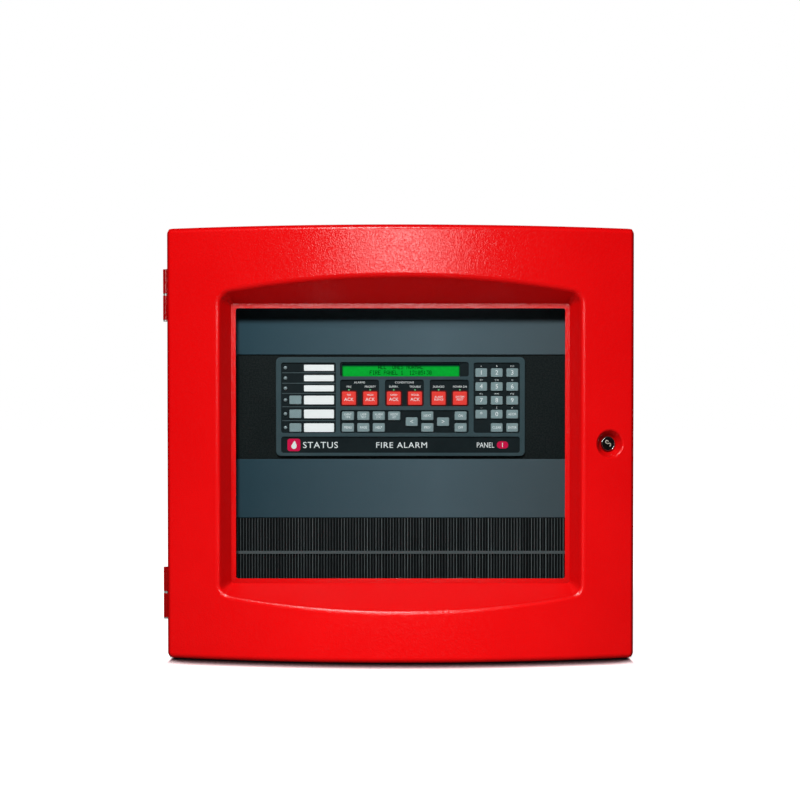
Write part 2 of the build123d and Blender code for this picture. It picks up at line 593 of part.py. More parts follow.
def power_supply():
    """The power supply and charger: heat sink, capacitors, fuses and terminals."""
    board = bare_board(POWER_BOARD)
    board += terminal_row(80, 38, 7)
    board += terminal_row(144, 38, 12)
    sink = on_board(158, 205, 150, 5, 38)
    for i in range(16):
        sink += on_board(87 + 9.4 * i, 197.5, 1.8, 10.5, 38)
    board += sink
    for x, z, radius, tall in ((100, 165, 13, 40), (132, 165, 13, 40), (220, 165, 9, 26), (220, 140, 9, 26)):
        board += along_y(radius, x, z, PCB_FRONT - tall, PCB_FRONT)
    board += on_board(176, 155, 34, 30, 24)
    for i in range(3):
        board += on_board(92 + 26 * i, 72, 22, 8, 9)
    board += on_board(215, 78, 28, 16, 16)
    return board


TRANSFORMER_X, TRANSFORMER_Z = 195.0, -38.0
CLAMP_T = 1.8


def transformer():
    """A laminated mains transformer on a bent clamp, with its winding showing on both sides."""
    x, z, back = TRANSFORMER_X, TRANSFORMER_Z, CHASSIS_BACK - SHEET
    core = block(x - 38, x + 38, back - 66, back - 2, z - 32, z + 32)
    core = fillet(core.edges().filter_by(Axis.Z), 1.5)
    clamp = block(x - 52, x + 52, back - CLAMP_T, back, z - 14, z + 14)
    clamp += block(x - 40, x + 40, back - 66 - CLAMP_T, back - CLAMP_T, z - 14, z + 14)
    winding = block(x - 24, x + 24, back - 52, back - 15, z - 48, z + 48)
    winding = fillet(winding.edges(), 6)
    return core + clamp + winding


BATTERY = (181.0, 77.0, 167.0)
BATTERY_BACK = -6.0
BATTERY_X = 97.0
BATTERY_TOP = -BOX_H / 2 + SHEET + BATTERY[2]
TERMINAL_INSET = 22.0


def batteries():
    """Two sealed 12 V batteries that stand on the floor of the box."""
    w, d, h = BATTERY
    blocks = []
    for x in (-BATTERY_X, BATTERY_X):
        z0 = -BOX_H / 2 + SHEET
        case = block(x - w / 2, x + w / 2, BATTERY_BACK - d, BATTERY_BACK, z0, z0 + h)
        case = fillet(case.edges(), 2)
        groove = block(x - w, x + w, BATTERY_BACK - 2 * d, BATTERY_BACK + d, z0 + h - 17, z0 + h - 15.5)
        groove -= block(x - w / 2 + 0.8, x + w / 2 - 0.8, BATTERY_BACK - d + 0.8, BATTERY_BACK - 0.8,
                        z0 + h - 18, z0 + h - 15)
        case -= groove
        for side in (-1, 1):
            tx = x + side * (w / 2 - TERMINAL_INSET)
            case += block(tx - 7, tx + 7, BATTERY_BACK - d + 12, BATTERY_BACK - d + 26, z0 + h - 1, z0 + h + 4)
        blocks.append(case.solids()[0])
    return Compound(children=blocks)


def lead(points, radius=2.0):
    """A round cable through the points."""
    path = Spline(*[Vector(*p) for p in points])
    start = Plane(path.position_at(0), z_dir=path.tangent_at(0))
    return sweep(start * Circle(radius), path)


def wiring():
    """The battery leads, the mains transformer's leads and the flat cable to the operator panel."""
    ty, tz = BATTERY_BACK - BATTERY[1] + 19, BATTERY_TOP + 4
    inner = BATTERY_X - BATTERY[0] / 2 + TERMINAL_INSET
    outer = BATTERY_X + BATTERY[0] / 2 - TERMINAL_INSET
    low, end_y, end_z = tz + 2, PCB_FRONT - 7, 30.0
    leads = [
        lead([(-inner, ty, low), (-inner / 2, ty - 2, tz + 14), (inner / 2, ty - 2, tz + 14), (inner, ty, low)]),
        lead([(-outer, ty, low), (-outer + 30, ty + 4, tz + 26), (20, -50, -60), (78, -38, -15), (85, end_y, end_z)]),
        lead([(outer, ty, low), (outer - 25, ty + 4, tz + 22), (112, -50, -50), (95, -38, -12), (93, end_y, end_z)]),
    ]
    ribbon = block(-244, -190, PCB_FRONT - 11, PCB_FRONT - 9.2, 200, 210)
    return Compound(children=[s.solids()[0] for s in leads] + [ribbon.solids()[0]])


def fasteners():
    """Nuts on the chassis studs, pan-head screws on both boards and hexagon heads on the clamp."""
    pieces = []
    for x, z in CHASSIS_STUDS:
        nut = Plane((x, CHASSIS_BACK - SHEET, z), x_dir=(1, 0, 0), z_dir=(0, -1, 0)) * extrude(RegularPolygon(5, 6), 4)
        pieces.append(nut - along_y(STUD_R + RUNNING, x, z, CHASSIS_BACK - 12, CHASSIS_BACK))
    for x, z in board_holes(CONTROL_BOARD) + board_holes(POWER_BOARD):
        head = along_y(3.2, x, z, PCB_FRONT - 2.2, PCB_FRONT)
        head = fillet(head.edges().sort_by(Axis.Y)[0], 0.9)
        head -= block(x - 2, x + 2, PCB_FRONT - 3, PCB_FRONT - 1.3, z - 0.4, z + 0.4)
        head -= block(x - 0.4, x + 0.4, PCB_FRONT - 3, PCB_FRONT - 1.3, z - 2, z + 2)
        pieces.append(head)
    for side in (-1, 1):
        clamp_front = CHASSIS_BACK - SHEET - CLAMP_T
        place = Plane((TRANSFORMER_X + side * 46, clamp_front, TRANSFORMER_Z), x_dir=(1, 0, 0), z_dir=(0, -1, 0))
        pieces.append(place * extrude(RegularPolygon(4.6, 6), 3.5))
    return Compound(children=[p.solids()[0] for p in pieces])


# ---------------------------------------------------------------- write every piece
def main():
    os.makedirs("parts", exist_ok=True)
    pieces = {
        "back_box": back_box, "hinge_pins": hinge_pins, "inner_hinge_brackets": inner_hinge_brackets,
        "door_shell": door_shell, "window_pane": window_pane, "window_retainer": window_retainer,
        "lock_barrel": lock_barrel, "lock_nut": lock_nut, "lock_plug": lock_plug, "lock_cam": lock_cam,
        "inner_door": inner_door, "trim_plates": trim_plates, "rib_panel": rib_panel,
        "operator_bezel": operator_bezel, "lcd_module": lcd_module, "operator_board": operator_board,
        "label_cards": label_cards, "chassis_plate": chassis_plate, "control_board": control_board,
        "power_supply": power_supply, "transformer": transformer, "batteries": batteries,
        "wiring": wiring, "fasteners": fasteners,
    }
    for name, make in pieces.items():
        save(name, make())
    for name, place in KEYS.items():
        save("key_" + name, key_cap(*place))


main()
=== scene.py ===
import json
import math
import random

import bmesh
import bpy
from mathutils import Matrix, Vector

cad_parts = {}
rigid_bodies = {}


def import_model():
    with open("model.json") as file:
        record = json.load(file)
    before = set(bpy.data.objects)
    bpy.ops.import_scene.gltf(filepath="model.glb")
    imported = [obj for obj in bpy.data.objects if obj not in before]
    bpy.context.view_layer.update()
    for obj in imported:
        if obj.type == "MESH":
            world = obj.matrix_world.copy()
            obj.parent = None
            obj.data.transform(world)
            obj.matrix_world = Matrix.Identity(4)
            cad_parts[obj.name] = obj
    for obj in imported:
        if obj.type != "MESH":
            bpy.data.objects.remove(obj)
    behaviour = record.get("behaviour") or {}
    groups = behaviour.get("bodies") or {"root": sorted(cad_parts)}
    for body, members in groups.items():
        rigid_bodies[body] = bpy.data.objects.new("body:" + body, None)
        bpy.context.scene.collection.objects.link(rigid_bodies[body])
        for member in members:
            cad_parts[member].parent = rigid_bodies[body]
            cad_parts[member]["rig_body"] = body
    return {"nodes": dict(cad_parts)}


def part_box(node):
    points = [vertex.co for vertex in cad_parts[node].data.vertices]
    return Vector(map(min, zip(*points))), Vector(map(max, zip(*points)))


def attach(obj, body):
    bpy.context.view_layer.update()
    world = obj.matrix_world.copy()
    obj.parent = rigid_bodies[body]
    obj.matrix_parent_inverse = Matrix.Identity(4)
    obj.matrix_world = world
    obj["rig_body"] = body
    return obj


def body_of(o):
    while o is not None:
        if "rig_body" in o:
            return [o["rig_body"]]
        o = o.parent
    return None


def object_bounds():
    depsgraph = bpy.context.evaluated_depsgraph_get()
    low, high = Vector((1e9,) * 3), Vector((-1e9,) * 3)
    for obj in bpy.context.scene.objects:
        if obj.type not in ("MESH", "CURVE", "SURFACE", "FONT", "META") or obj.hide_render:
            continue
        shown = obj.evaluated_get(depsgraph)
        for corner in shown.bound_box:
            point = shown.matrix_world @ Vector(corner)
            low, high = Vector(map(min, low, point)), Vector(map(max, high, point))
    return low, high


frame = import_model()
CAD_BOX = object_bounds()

# A red fire alarm control panel with a bowed door. Metres; the front faces -Y, +Z is up.
MM = 0.001


# ---------------- node helpers
class Shader:
    """A material's node tree, with short calls for the nodes used here."""

    def __init__(self, name):
        self.material = bpy.data.materials.new(name)
        self.material.use_nodes = True
        self.tree = self.material.node_tree
        self.tree.nodes.clear()
        self.output = self.tree.nodes.new("ShaderNodeOutputMaterial")
        self.position = self.node("ShaderNodeTexCoord").outputs["Object"]

    def node(self, kind, inputs=None, **settings):
        made = self.tree.nodes.new(kind)
        for key, value in settings.items():
            setattr(made, key, value)
        for key, value in (inputs or {}).items():
            self.plug(value, made.inputs[key])
        return made

    def plug(self, value, socket):
        if isinstance(value, bpy.types.NodeSocket):
            self.tree.links.new(value, socket)
        elif isinstance(value, (tuple, list)) and len(value) == 3 and socket.type == "RGBA":
            socket.default_value = (*value, 1.0)
        else:
            socket.default_value = value

    def stretched(self, scale):
        """The object's coordinates, scaled by axis: a larger number gives finer detail along it."""
        return self.node("ShaderNodeMapping", {"Vector": self.position, "Scale": scale}).outputs[0]

    def noise(self, scale, detail=2.0, rough=0.5, vector=None):
        made = self.node("ShaderNodeTexNoise", {"Vector": vector or self.position, "Scale": scale,
                                                "Detail": detail, "Roughness": rough})
        return made.outputs["Fac"]

    def ramp(self, factor, *stops):
        """A ramp through stops; each stop is its place and a colour or a grey level."""
        made = self.node("ShaderNodeValToRGB", {"Fac": factor})
        elements = made.color_ramp.elements
        elements[0].position = stops[0][0]
        elements[1].position = stops[-1][0]
        for place, _ in stops[1:-1]:
            elements.new(place)
        for element, (_, colour) in zip(elements, stops):
            element.color = (*colour, 1) if isinstance(colour, tuple) else (colour, colour, colour, 1)
        return made.outputs["Color"]

    def math(self, kind, a, b=0.0):
        return self.node("ShaderNodeMath", {0: a, 1: b}, operation=kind).outputs[0]

    def mix(self, factor, a, b):
        made = self.node("ShaderNodeMix", data_type="RGBA")
        self.plug(factor, made.inputs["Factor"])
        self.plug(a, made.inputs[6])
        self.plug(b, made.inputs[7])
        return made.outputs[2]

    def axis(self, letter):
        return self.node("ShaderNodeSeparateXYZ", {"Vector": self.position}).outputs[letter]

    def remap(self, value, from_min, from_max, to_min=0.0, to_max=1.0):
        return self.node("ShaderNodeMapRange", {"Value": value, "From Min": from_min, "From Max": from_max,
                                                "To Min": to_min, "To Max": to_max}).outputs[0]

    def inside(self, x0, x1, y0, y1, z0, z1):
        """1 inside a box given in millimetres, 0 outside it."""
        found = None
        for letter, low, high in (("X", x0, x1), ("Y", y0, y1), ("Z", z0, z1)):
            near = self.between(self.axis(letter), low * MM, high * MM)
            found = self.math("MULTIPLY", found, near) if found else near
        return found

    def between(self, value, low, high):
        """1 where a value lies between two bounds, 0 elsewhere."""
        near = {0: value, 1: (low + high) / 2, 2: (high - low) / 2}
        return self.node("ShaderNodeMath", near, operation="COMPARE").outputs[0]

    def bump(self, height, distance):
        shape = {"Height": height, "Distance": distance, "Strength": 1.0}
        return self.node("ShaderNodeBump", shape).outputs[0]

    def surface(self, **inputs):
        """Ends the tree in a principled surface and returns the finished material."""
        names = {"colour": "Base Color", "rough": "Roughness", "metal": "Metallic", "normal": "Normal",
                 "specular": "Specular IOR Level", "glow": "Emission Color",
                 "glow_strength": "Emission Strength"}
        made = self.node("ShaderNodeBsdfPrincipled", {names[k]: v for k, v in inputs.items()})
        self.tree.links.new(made.outputs[0], self.output.inputs["Surface"])
        return self.material


# ---------------- materials
# The red paint's tone stands in for some of the shade on the real panel.
PAINT_SHADE_REACH = 42 * MM            # how near a surface counts as one that shades a corner or a recess
RECESS_TONE = 0.45                     # what is left of the paint's tone deep in a recess
# Painted shade on faces that turn away from the front. Each entry: the axis they turn to, the part of their
# normal along it where the shade starts and where it is complete, and what is left of the paint's tone
# there.
TURNED_SHADE_TONES = (("X", 0.34, 0.60, 0.60), ("X", -0.34, -0.60, 0.74), ("Z", 0.30, 0.55, 0.84))
# Painted shade on the hinges, which lie in the door's shade.
HINGE_SHADE_TONE = 0.28                      # what is left of it on the hinges, left of the door


def darker(colour, tone):
    return tuple(c * tone for c in colour)


def powder_coat(name, low, high, rough=0.22, grain=1.0, specular=0.22, shaded_left_of=None, recess=True):
    """Baked powder coat: glossy, with a fine pebbled skin and slight unevenness of colour.

    Painted shade darkens what lies left of a given x, and recess turns on painted shade in recesses and on
    faces turned away from the front."""
    s = Shader(name)
    pebble = s.noise(520, 1.0)
    swell = s.noise(150, 1.0)
    sparkle = s.ramp(pebble, (0.40, 0.45 * specular), (0.60, 1.55 * specular))
    colour = s.mix(s.ramp(s.noise(9, 3.0), (0.35, 0.0), (0.65, 1.0)), low, high)
    # Painted shade on the hinges, left of the door's edge.
    if shaded_left_of is not None:
        colour = s.mix(s.math("LESS_THAN", s.axis("X"), shaded_left_of), colour, darker(low, HINGE_SHADE_TONE))
    # Painted shade in corners and recesses, and on faces that turn away from the front.
    if recess:
        reach = {"Distance": PAINT_SHADE_REACH}
        openness = s.node("ShaderNodeAmbientOcclusion", reach, samples=8).outputs["AO"]
        near_floor = s.math("SUBTRACT", 1.0, s.remap(s.axis("Z"), -245 * MM, -215 * MM))
        openness = s.math("MAXIMUM", openness, near_floor)
        colour = s.mix(s.ramp(openness, (0.58, 0.0), (0.97, 1.0)), darker(low, RECESS_TONE), colour)
        facing = s.node("ShaderNodeSeparateXYZ", {0: s.node("ShaderNodeTexCoord").outputs["Normal"]}).outputs
        for axis, start, complete, tone in TURNED_SHADE_TONES:
            colour = s.mix(s.remap(facing[axis], start, complete), colour, darker(low, tone))
    height = s.math("ADD", pebble, s.math("MULTIPLY", swell, 0.7))
    normal = s.bump(height, 0.00021 * grain)
    roughness = s.ramp(pebble, (0.3, rough - 0.03), (0.7, rough + 0.04))
    return s.surface(colour=colour, rough=roughness, normal=normal, specular=sparkle)


def moulded_plastic(name, low, high, rough=0.5, grain=0.00006, specular=0.15, glow_strength=0.0):
    """Dull moulded or printed plastic; a little glow is painted light that stands in for very pale, bright
    print.
    """
    s = Shader(name)
    colour = s.mix(s.noise(35, 3.0), low, high)
    normal = s.bump(s.noise(2600, 2.0), grain)
    roughness = s.ramp(s.noise(180, 2.0), (0.3, rough - 0.05), (0.7, rough + 0.07))
    return s.surface(colour=colour, rough=roughness, normal=normal, specular=specular, glow=colour,
                     glow_strength=glow_strength)


def zinc_plate(name):
    """Bright zinc with the faint cloudy crystals of the plating."""
    s = Shader(name)
    cloud = s.noise(60, 4.0, 0.6)
    colour = s.mix(s.ramp(cloud, (0.3, 0.0), (0.7, 1.0)), (0.40, 0.40, 0.39), (0.50, 0.50, 0.48))
    streak = s.noise(240, 2.0, vector=s.stretched((1.0, 1.0, 12.0)))
    return s.surface(colour=colour, metal=0.55, rough=s.ramp(cloud, (0.3, 0.38), (0.75, 0.48)),
                     normal=s.bump(streak, 0.00003))


def plain_metal(name, colour, rough):
    """Bare metal with fine scratches along X."""
    s = Shader(name)
    scratch = s.noise(900, 2.0, vector=s.stretched((0.05, 1.0, 1.0)))
    tint = s.mix(s.noise(50, 3.0), colour, darker(colour, 0.8))
    return s.surface(colour=tint, metal=1.0, rough=s.ramp(scratch, (0.35, rough), (0.7, rough + 0.12)),
                     normal=s.bump(scratch, 0.00001))


def window_clear(name):
    """A clear sheet that lets the camera and the light straight through, with a weak reflection."""
    s = Shader(name)
    clear = s.node("ShaderNodeBsdfTransparent", {"Color": (0.965, 0.985, 0.985)}).outputs[0]
    shine = s.node("ShaderNodeBsdfGlossy", {"Color": (1.0, 1.0, 1.0), "Roughness": 0.03}).outputs[0]
    waves = s.bump(s.noise(14, 1.0), 0.0001)
    fresnel = s.node("ShaderNodeFresnel", {"IOR": 1.45, "Normal": waves}).outputs[0]
    made = s.node("ShaderNodeMixShader", {0: s.math("MULTIPLY", fresnel, 0.35), 1: clear, 2: shine})
    s.tree.links.new(made.outputs[0], s.output.inputs["Surface"])
    return s.material


def grey_trim(name):
    """Blue-grey moulded plates, a little lighter higher up; painted shade makes them darker and bluer to the
    left, and dark under the door's top edge, where its shadow falls.
    """
    s = Shader(name)
    # Painted shade: darker and bluer to the left.
    along = s.remap(s.axis("X"), -200 * MM, 200 * MM)
    left_shade = s.ramp(along, (0.0, (0.031, 0.073, 0.099)), (0.62, (0.104, 0.156, 0.188)),
                    (1.0, (0.087, 0.117, 0.134)))
    level = s.remap(s.axis("Z"), 20 * MM, 100 * MM, 0.98, 1.04)
    # Painted shadow: dark under the door's top edge, where its shadow falls.
    door_edge_shadow = s.remap(s.axis("Z"), 157 * MM, 166 * MM, 1.0, 0.35)
    level = s.math("MULTIPLY", level, door_edge_shadow)
    shade = s.node("ShaderNodeVectorMath", {0: left_shade, "Scale": level}, operation="SCALE").outputs[0]
    colour = s.mix(s.math("MULTIPLY", s.noise(35, 3.0), 0.1), shade, (0.045, 0.070, 0.080))
    return s.surface(colour=colour, rough=0.55, normal=s.bump(s.noise(2600, 2.0), 0.00005), specular=0.12)


def bezel_print(name, split_y):
    """Grey raised bars over near-black floors: the change is at one depth."""
    s = Shader(name)
    raised = s.math("LESS_THAN", s.axis("Y"), split_y)
    grain = s.noise(40, 3.0)
    floor = s.mix(grain, (0.009, 0.016, 0.0185), (0.014, 0.022, 0.025))
    bars = s.mix(grain, (0.046, 0.082, 0.094), (0.070, 0.108, 0.122))
    return s.surface(colour=s.mix(raised, floor, bars), rough=s.ramp(grain, (0.3, 0.45), (0.7, 0.58)),
                     normal=s.bump(s.noise(2400, 2.0), 0.00004), specular=0.12)


def ribbed_black(name, base_y, tip_y):
    """Black ribs. Painted highlights make their crowns lighter, each rib a little lighter or darker than the
    next; painted shade darkens the grooves and the ribs to the left, and the rail across them is lighter.
    """
    s = Shader(name)
    height = s.remap(s.axis("Y"), base_y, tip_y)
    per_rib = s.noise(1.0, 2.0, 0.8, s.stretched((300.0, 0.0, 0.0)))
    # Painted highlight: the rib crowns are lighter, each rib by its own amount.
    crown_highlight = s.mix(s.ramp(per_rib, (0.40, 0.0), (0.62, 1.0)), (0.030, 0.036, 0.038), (0.26, 0.295, 0.30))
    # Painted shade: the ribs are darker to the left.
    left_shade = s.remap(s.axis("X"), -200 * MM, 0.0)
    crown_highlight = s.mix(left_shade, s.mix(0.5, crown_highlight, (0.070, 0.078, 0.082)), crown_highlight)
    rail = s.math("LESS_THAN", s.axis("Y"), tip_y - 0.2 * MM)
    # Painted shade: darker down in the grooves.
    colour = s.mix(s.math("POWER", height, 1.5), (0.0030, 0.0042, 0.0048), crown_highlight)
    colour = s.mix(rail, colour, (0.112, 0.129, 0.134))
    return s.surface(colour=colour, rough=0.5, normal=s.bump(s.noise(2600, 2.0), 0.00004), specular=0.12)


def circuit_board(name, front_y, parts):
    """Solder mask over copper tracks; what stands in front of front_y takes the colour of its box in parts.

    A part is its X and Z range in millimetres, its colour and whether it is metal."""
    s = Shader(name)
    upright = {"Vector": s.position, "Rotation": (math.pi / 2, 0.0, 0.0)}
    flat = s.node("ShaderNodeMapping", upright).outputs[0]
    cell = s.node("ShaderNodeTexBrick", {"Vector": flat, "Scale": 60.0, "Mortar Size": 0.03,
                                         "Color1": (0.0, 0.0, 0.0), "Color2": (0.0, 0.0, 0.0),
                                         "Mortar": (1.0, 1.0, 1.0)})
    tracks = s.math("MULTIPLY", cell.outputs["Color"], s.ramp(s.noise(22, 1.0), (0.45, 0.0), (0.5, 1.0)))
    board = s.mix(tracks, (0.003, 0.055, 0.022), (0.008, 0.13, 0.05))
    colour = (0.014, 0.014, 0.015)
    metal = 0.0
    for x0, x1, z0, z1, tone, is_metal in parts:
        found = s.inside(x0, x1, -200, 0, z0, z1)
        colour = s.mix(found, colour, tone)
        if is_metal:
            metal = s.math("MAXIMUM", metal, found)
    standing = s.math("LESS_THAN", s.axis("Y"), front_y - 0.15 * MM)
    colour = s.mix(standing, board, colour)
    metal = s.math("MULTIPLY", metal, standing)
    return s.surface(colour=colour, rough=0.34, metal=metal, normal=s.bump(tracks, 0.00006), specular=0.35)


def transformer_iron(name, z0, z1, clamp_front):
    """Stacked laminations between two ends of taped winding, under a zinc clamp."""
    s = Shader(name)
    stack = s.noise(1.0, 2.0, 0.7, s.stretched((0.0, 0.0, 2200.0)))
    core = s.mix(stack, (0.045, 0.044, 0.043), (0.12, 0.115, 0.11))
    turns = s.noise(1.0, 1.0, 0.5, s.stretched((0.0, 0.0, 420.0)))
    tape = s.mix(turns, (0.48, 0.24, 0.03), (0.62, 0.36, 0.06))
    colour = s.mix(s.between(s.axis("Z"), z0, z1), tape, core)
    clamp = s.math("LESS_THAN", s.axis("Y"), clamp_front)
    colour = s.mix(clamp, colour, (0.5, 0.5, 0.48))
    return s.surface(colour=colour, metal=s.math("MULTIPLY", clamp, 0.9), rough=0.45, specular=0.3,
                     normal=s.bump(stack, 0.00004))


def two_leads(name, split_x, first, second):
    """Insulated leads: one colour left of split_x, another right of it, and the flat cable's grey plug."""
    s = Shader(name)
    right = s.math("GREATER_THAN", s.axis("X"), split_x)
    colour = s.mix(right, first, second)
    plug = s.inside(-250, -185, -60, 0, 190, 220)
    colour = s.mix(plug, colour, (0.35, 0.36, 0.37))
    colour = s.mix(s.math("MULTIPLY", s.noise(90, 2.0), 0.3), colour, (0.02, 0.02, 0.02))
    return s.surface(colour=colour, rough=0.4, normal=s.bump(s.noise(900, 1.0), 0.00003), specular=0.4)


def battery_case(name, tab_z):
    """A dark moulded case, with zinc tabs above tab_z."""
    s = Shader(name)
    tab = s.math("GREATER_THAN", s.axis("Z"), tab_z)
    case = s.mix(s.noise(35, 3.0), (0.030, 0.031, 0.034), (0.042, 0.043, 0.046))
    return s.surface(colour=s.mix(tab, case, (0.55, 0.55, 0.52)), metal=tab, rough=0.45, specular=0.35,
                     normal=s.bump(s.noise(1500, 2.0), 0.00008))


def lamp_lens(name, colour, strength):
    """A lens that glows in its own colour, a little unevenly."""
    s = Shader(name)
    varied = s.mix(s.noise(300, 2.0), colour, darker(colour, 0.75))
    return s.surface(colour=varied, rough=0.25, glow=varied, glow_strength=strength)


PCB_FRONT = -23.1                      # front of the two boards on the chassis, in millimetres
TERMINAL_GREEN = (0.012, 0.16, 0.055)
CONTROL_PARTS = [
    (-245, 45, 31, 44, TERMINAL_GREEN, False),           # field terminals
    (-237, -140, 57, 75, (0.02, 0.07, 0.22), False),     # relays
    (-122, 40, 58, 70, (0.50, 0.22, 0.02), False),       # surge suppressors
    (-240, -190, 199, 211, (0.66, 0.66, 0.62), False),   # header
    (10, 34, 178, 202, (0.62, 0.62, 0.62), True),        # coin cell
]
POWER_PARTS = [
    (75, 245, 31, 44, TERMINAL_GREEN, False),            # field terminals
    (82, 236, 191, 209, (0.55, 0.56, 0.57), True),       # heat sink
    (86, 146, 151, 179, (0.02, 0.05, 0.16), False),      # capacitor sleeves
    (210, 230, 130, 176, (0.02, 0.05, 0.16), False),     # smaller capacitor sleeves
    (158, 194, 139, 171, (0.62, 0.42, 0.05), False),     # taped ferrite transformer
    (200, 230, 69, 87, (0.55, 0.56, 0.54), False),       # line filter
    (80, 157, 67, 77, (0.50, 0.50, 0.44), False),        # fuse holders
]
# Painted shade darkens the hinges, left of the door's edge.
RED = powder_coat("red_powder_coat", (0.820, 0.0026, 0.0034), (0.860, 0.0034, 0.0042),
                  shaded_left_of=-305.4 * MM)
BLACK_PAINT = powder_coat("black_powder_coat", (0.0095, 0.0135, 0.0140), (0.013, 0.0175, 0.0180), 0.5, 0.6,
                          0.10, recess=False)
GREY_TRIM = grey_trim("blue_grey_trim")
KEY_GREY = moulded_plastic("silicone_grey", (0.285, 0.385, 0.400), (0.33, 0.430, 0.450), 0.55, 0.00004)
# Painted light: the red keys, the label cards and the white print glow a little, which makes them brighter.
KEY_RED = moulded_plastic("silicone_red", (0.98, 0.050, 0.038), (1.0, 0.066, 0.052), 0.5, 0.00004,
                          glow_strength=0.16)
CARD_WHITE = moulded_plastic("label_card", (0.93, 0.93, 0.93), (0.96, 0.96, 0.96), 0.6, 0.00002,
                             glow_strength=0.22)
PRINT_WHITE = moulded_plastic("white_print", (0.84, 0.87, 0.87), (0.92, 0.93, 0.93), 0.6, 0.00001,
                              glow_strength=0.18)
PRINT_GREY = moulded_plastic("grey_print", (0.075, 0.105, 0.115), (0.10, 0.135, 0.145), 0.55, 0.00001)
PRINT_DARK_RED = moulded_plastic("dark_red_print", (0.10, 0.004, 0.005), (0.14, 0.006, 0.007), 0.5, 0.00001)
TILE_RED = moulded_plastic("tile_red", (0.86, 0.005, 0.075), (0.92, 0.008, 0.095), 0.45, 0.00001)
ZINC = zinc_plate("bright_zinc")
CHROME = plain_metal("polished_chrome", (0.80, 0.81, 0.83), 0.14)
LOCK_DARK = moulded_plastic("black_lock", (0.003, 0.0025, 0.0025), (0.004, 0.0035, 0.0035), 0.5, 0.00002,
                            specular=0.05)
# Painted glint: the ward's pale colour stands in for the glints on the lock's face.
GLINT_WARD = moulded_plastic("pale_glint_ward", (0.62, 0.56, 0.47), (0.68, 0.62, 0.53), 0.3, 0.00001, specular=0.5)
ALUMINIUM = plain_metal("extruded_aluminium", (0.62, 0.63, 0.64), 0.3)
BOARD_MAIN = circuit_board("control_board_parts", PCB_FRONT * MM, CONTROL_PARTS)
BOARD_POWER = circuit_board("power_board_parts", PCB_FRONT * MM, POWER_PARTS)
FAR_IN_FRONT = -1.0                    # nothing stands there, so the whole board is green
BOARD_KEYS = circuit_board("operator_board_parts", FAR_IN_FRONT, [])
TRANSFORMER = transformer_iron("transformer_iron", -70.2 * MM, -5.8 * MM, -79.0 * MM)
BATTERY = battery_case("battery_case", -112.6 * MM)
LEADS = two_leads("insulated_leads", 89 * MM, (0.012, 0.012, 0.013), (0.52, 0.012, 0.010))
CHIP_BLACK = moulded_plastic("chip_epoxy", (0.011, 0.011, 0.012), (0.016, 0.016, 0.017), 0.4, 0.00002, 0.3)
LABEL_GREY = moulded_plastic("battery_label", (0.50, 0.51, 0.52), (0.58, 0.59, 0.60), 0.45, 0.00001)
BAND_BLUE = moulded_plastic("battery_band", (0.02, 0.08, 0.26), (0.03, 0.10, 0.30), 0.45, 0.00001)
COLLAR_RED = moulded_plastic("red_collar", (0.50, 0.010, 0.008), (0.58, 0.015, 0.012), 0.5, 0.00003)
RUBBER = moulded_plastic("black_rubber", (0.010, 0.010, 0.011), (0.016, 0.016, 0.017), 0.7, 0.0001, 0.2)
WINDOW = window_clear("clear_window")
# Painted light: the unlit grey lenses glow faintly.
LAMP_GREY = lamp_lens("lamp_unlit", (0.34, 0.42, 0.44), 0.05)
LAMP_GREEN = lamp_lens("lamp_green", (0.10, 0.42, 0.16), 0.7)

# Each red key and the caption of the small lamp above it.
RED_KEY_CAPTIONS = {"key_fire_ack": "FIRE", "key_priority_ack": "PRIORITY", "key_supervisory_ack": "SUPERV.",
                    "key_trouble_ack": "TROUBLE", "key_silence": "SILENCED", "key_reset": "POWER ON"}
RED_KEYS = sorted(RED_KEY_CAPTIONS)


def flat_mid(node):
    """The middle of a node's front face."""
    low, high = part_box(node)
    return Vector(((low.x + high.x) / 2, low.y, (low.z + high.z) / 2))


TRAY_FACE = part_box("inner_door")[0].y  # front of the inner door's sheet
FLOOR_FRONT = TRAY_FACE - 2.5 * MM     # front and back of the bezel's floors
FLOOR_BACK = TRAY_FACE - 0.5 * MM

BEZEL = bezel_print("bezel_print", FLOOR_FRONT - 0.6 * MM)
RIB_BLACK = ribbed_black("ribbed_black", TRAY_FACE - 0.8 * MM, TRAY_FACE - 3.0 * MM)

NODE_MATERIALS = {
    "back_box": RED, "door_shell": RED, "hinge_pins": ZINC, "inner_hinge_brackets": ZINC,
    "window_pane": WINDOW, "window_retainer": ZINC, "lock_barrel": LOCK_DARK, "lock_nut": ZINC,
    "lock_plug": LOCK_DARK, "lock_cam": ZINC, "inner_door": BLACK_PAINT, "trim_plates": GREY_TRIM,
    "rib_panel": RIB_BLACK, "operator_bezel": BEZEL, "lcd_module": ZINC, "operator_board": BOARD_KEYS,
    "label_cards": CARD_WHITE, "chassis_plate": ZINC, "control_board": BOARD_MAIN,
    "power_supply": BOARD_POWER, "transformer": TRANSFORMER, "batteries": BATTERY, "wiring": LEADS,
    "fasteners": ZINC,
}


def paint_cad():
    """Gives each CAD node its material; only the keys aren't in NODE_MATERIALS."""
    for name, obj in frame["nodes"].items():
        material = NODE_MATERIALS.get(name) or (KEY_RED if name in RED_KEYS else KEY_GREY)
        obj.data.materials.clear()
        obj.data.materials.append(material)


# ---------------- piece builders
def add_piece(name, mesh, material, body):
    """Adds a piece that rides on a body, in the given material."""
    obj = bpy.data.objects.new(name, mesh)
    bpy.context.scene.collection.objects.link(obj)
    mesh.materials.clear()
    mesh.materials.append(material)
    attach(obj, body)


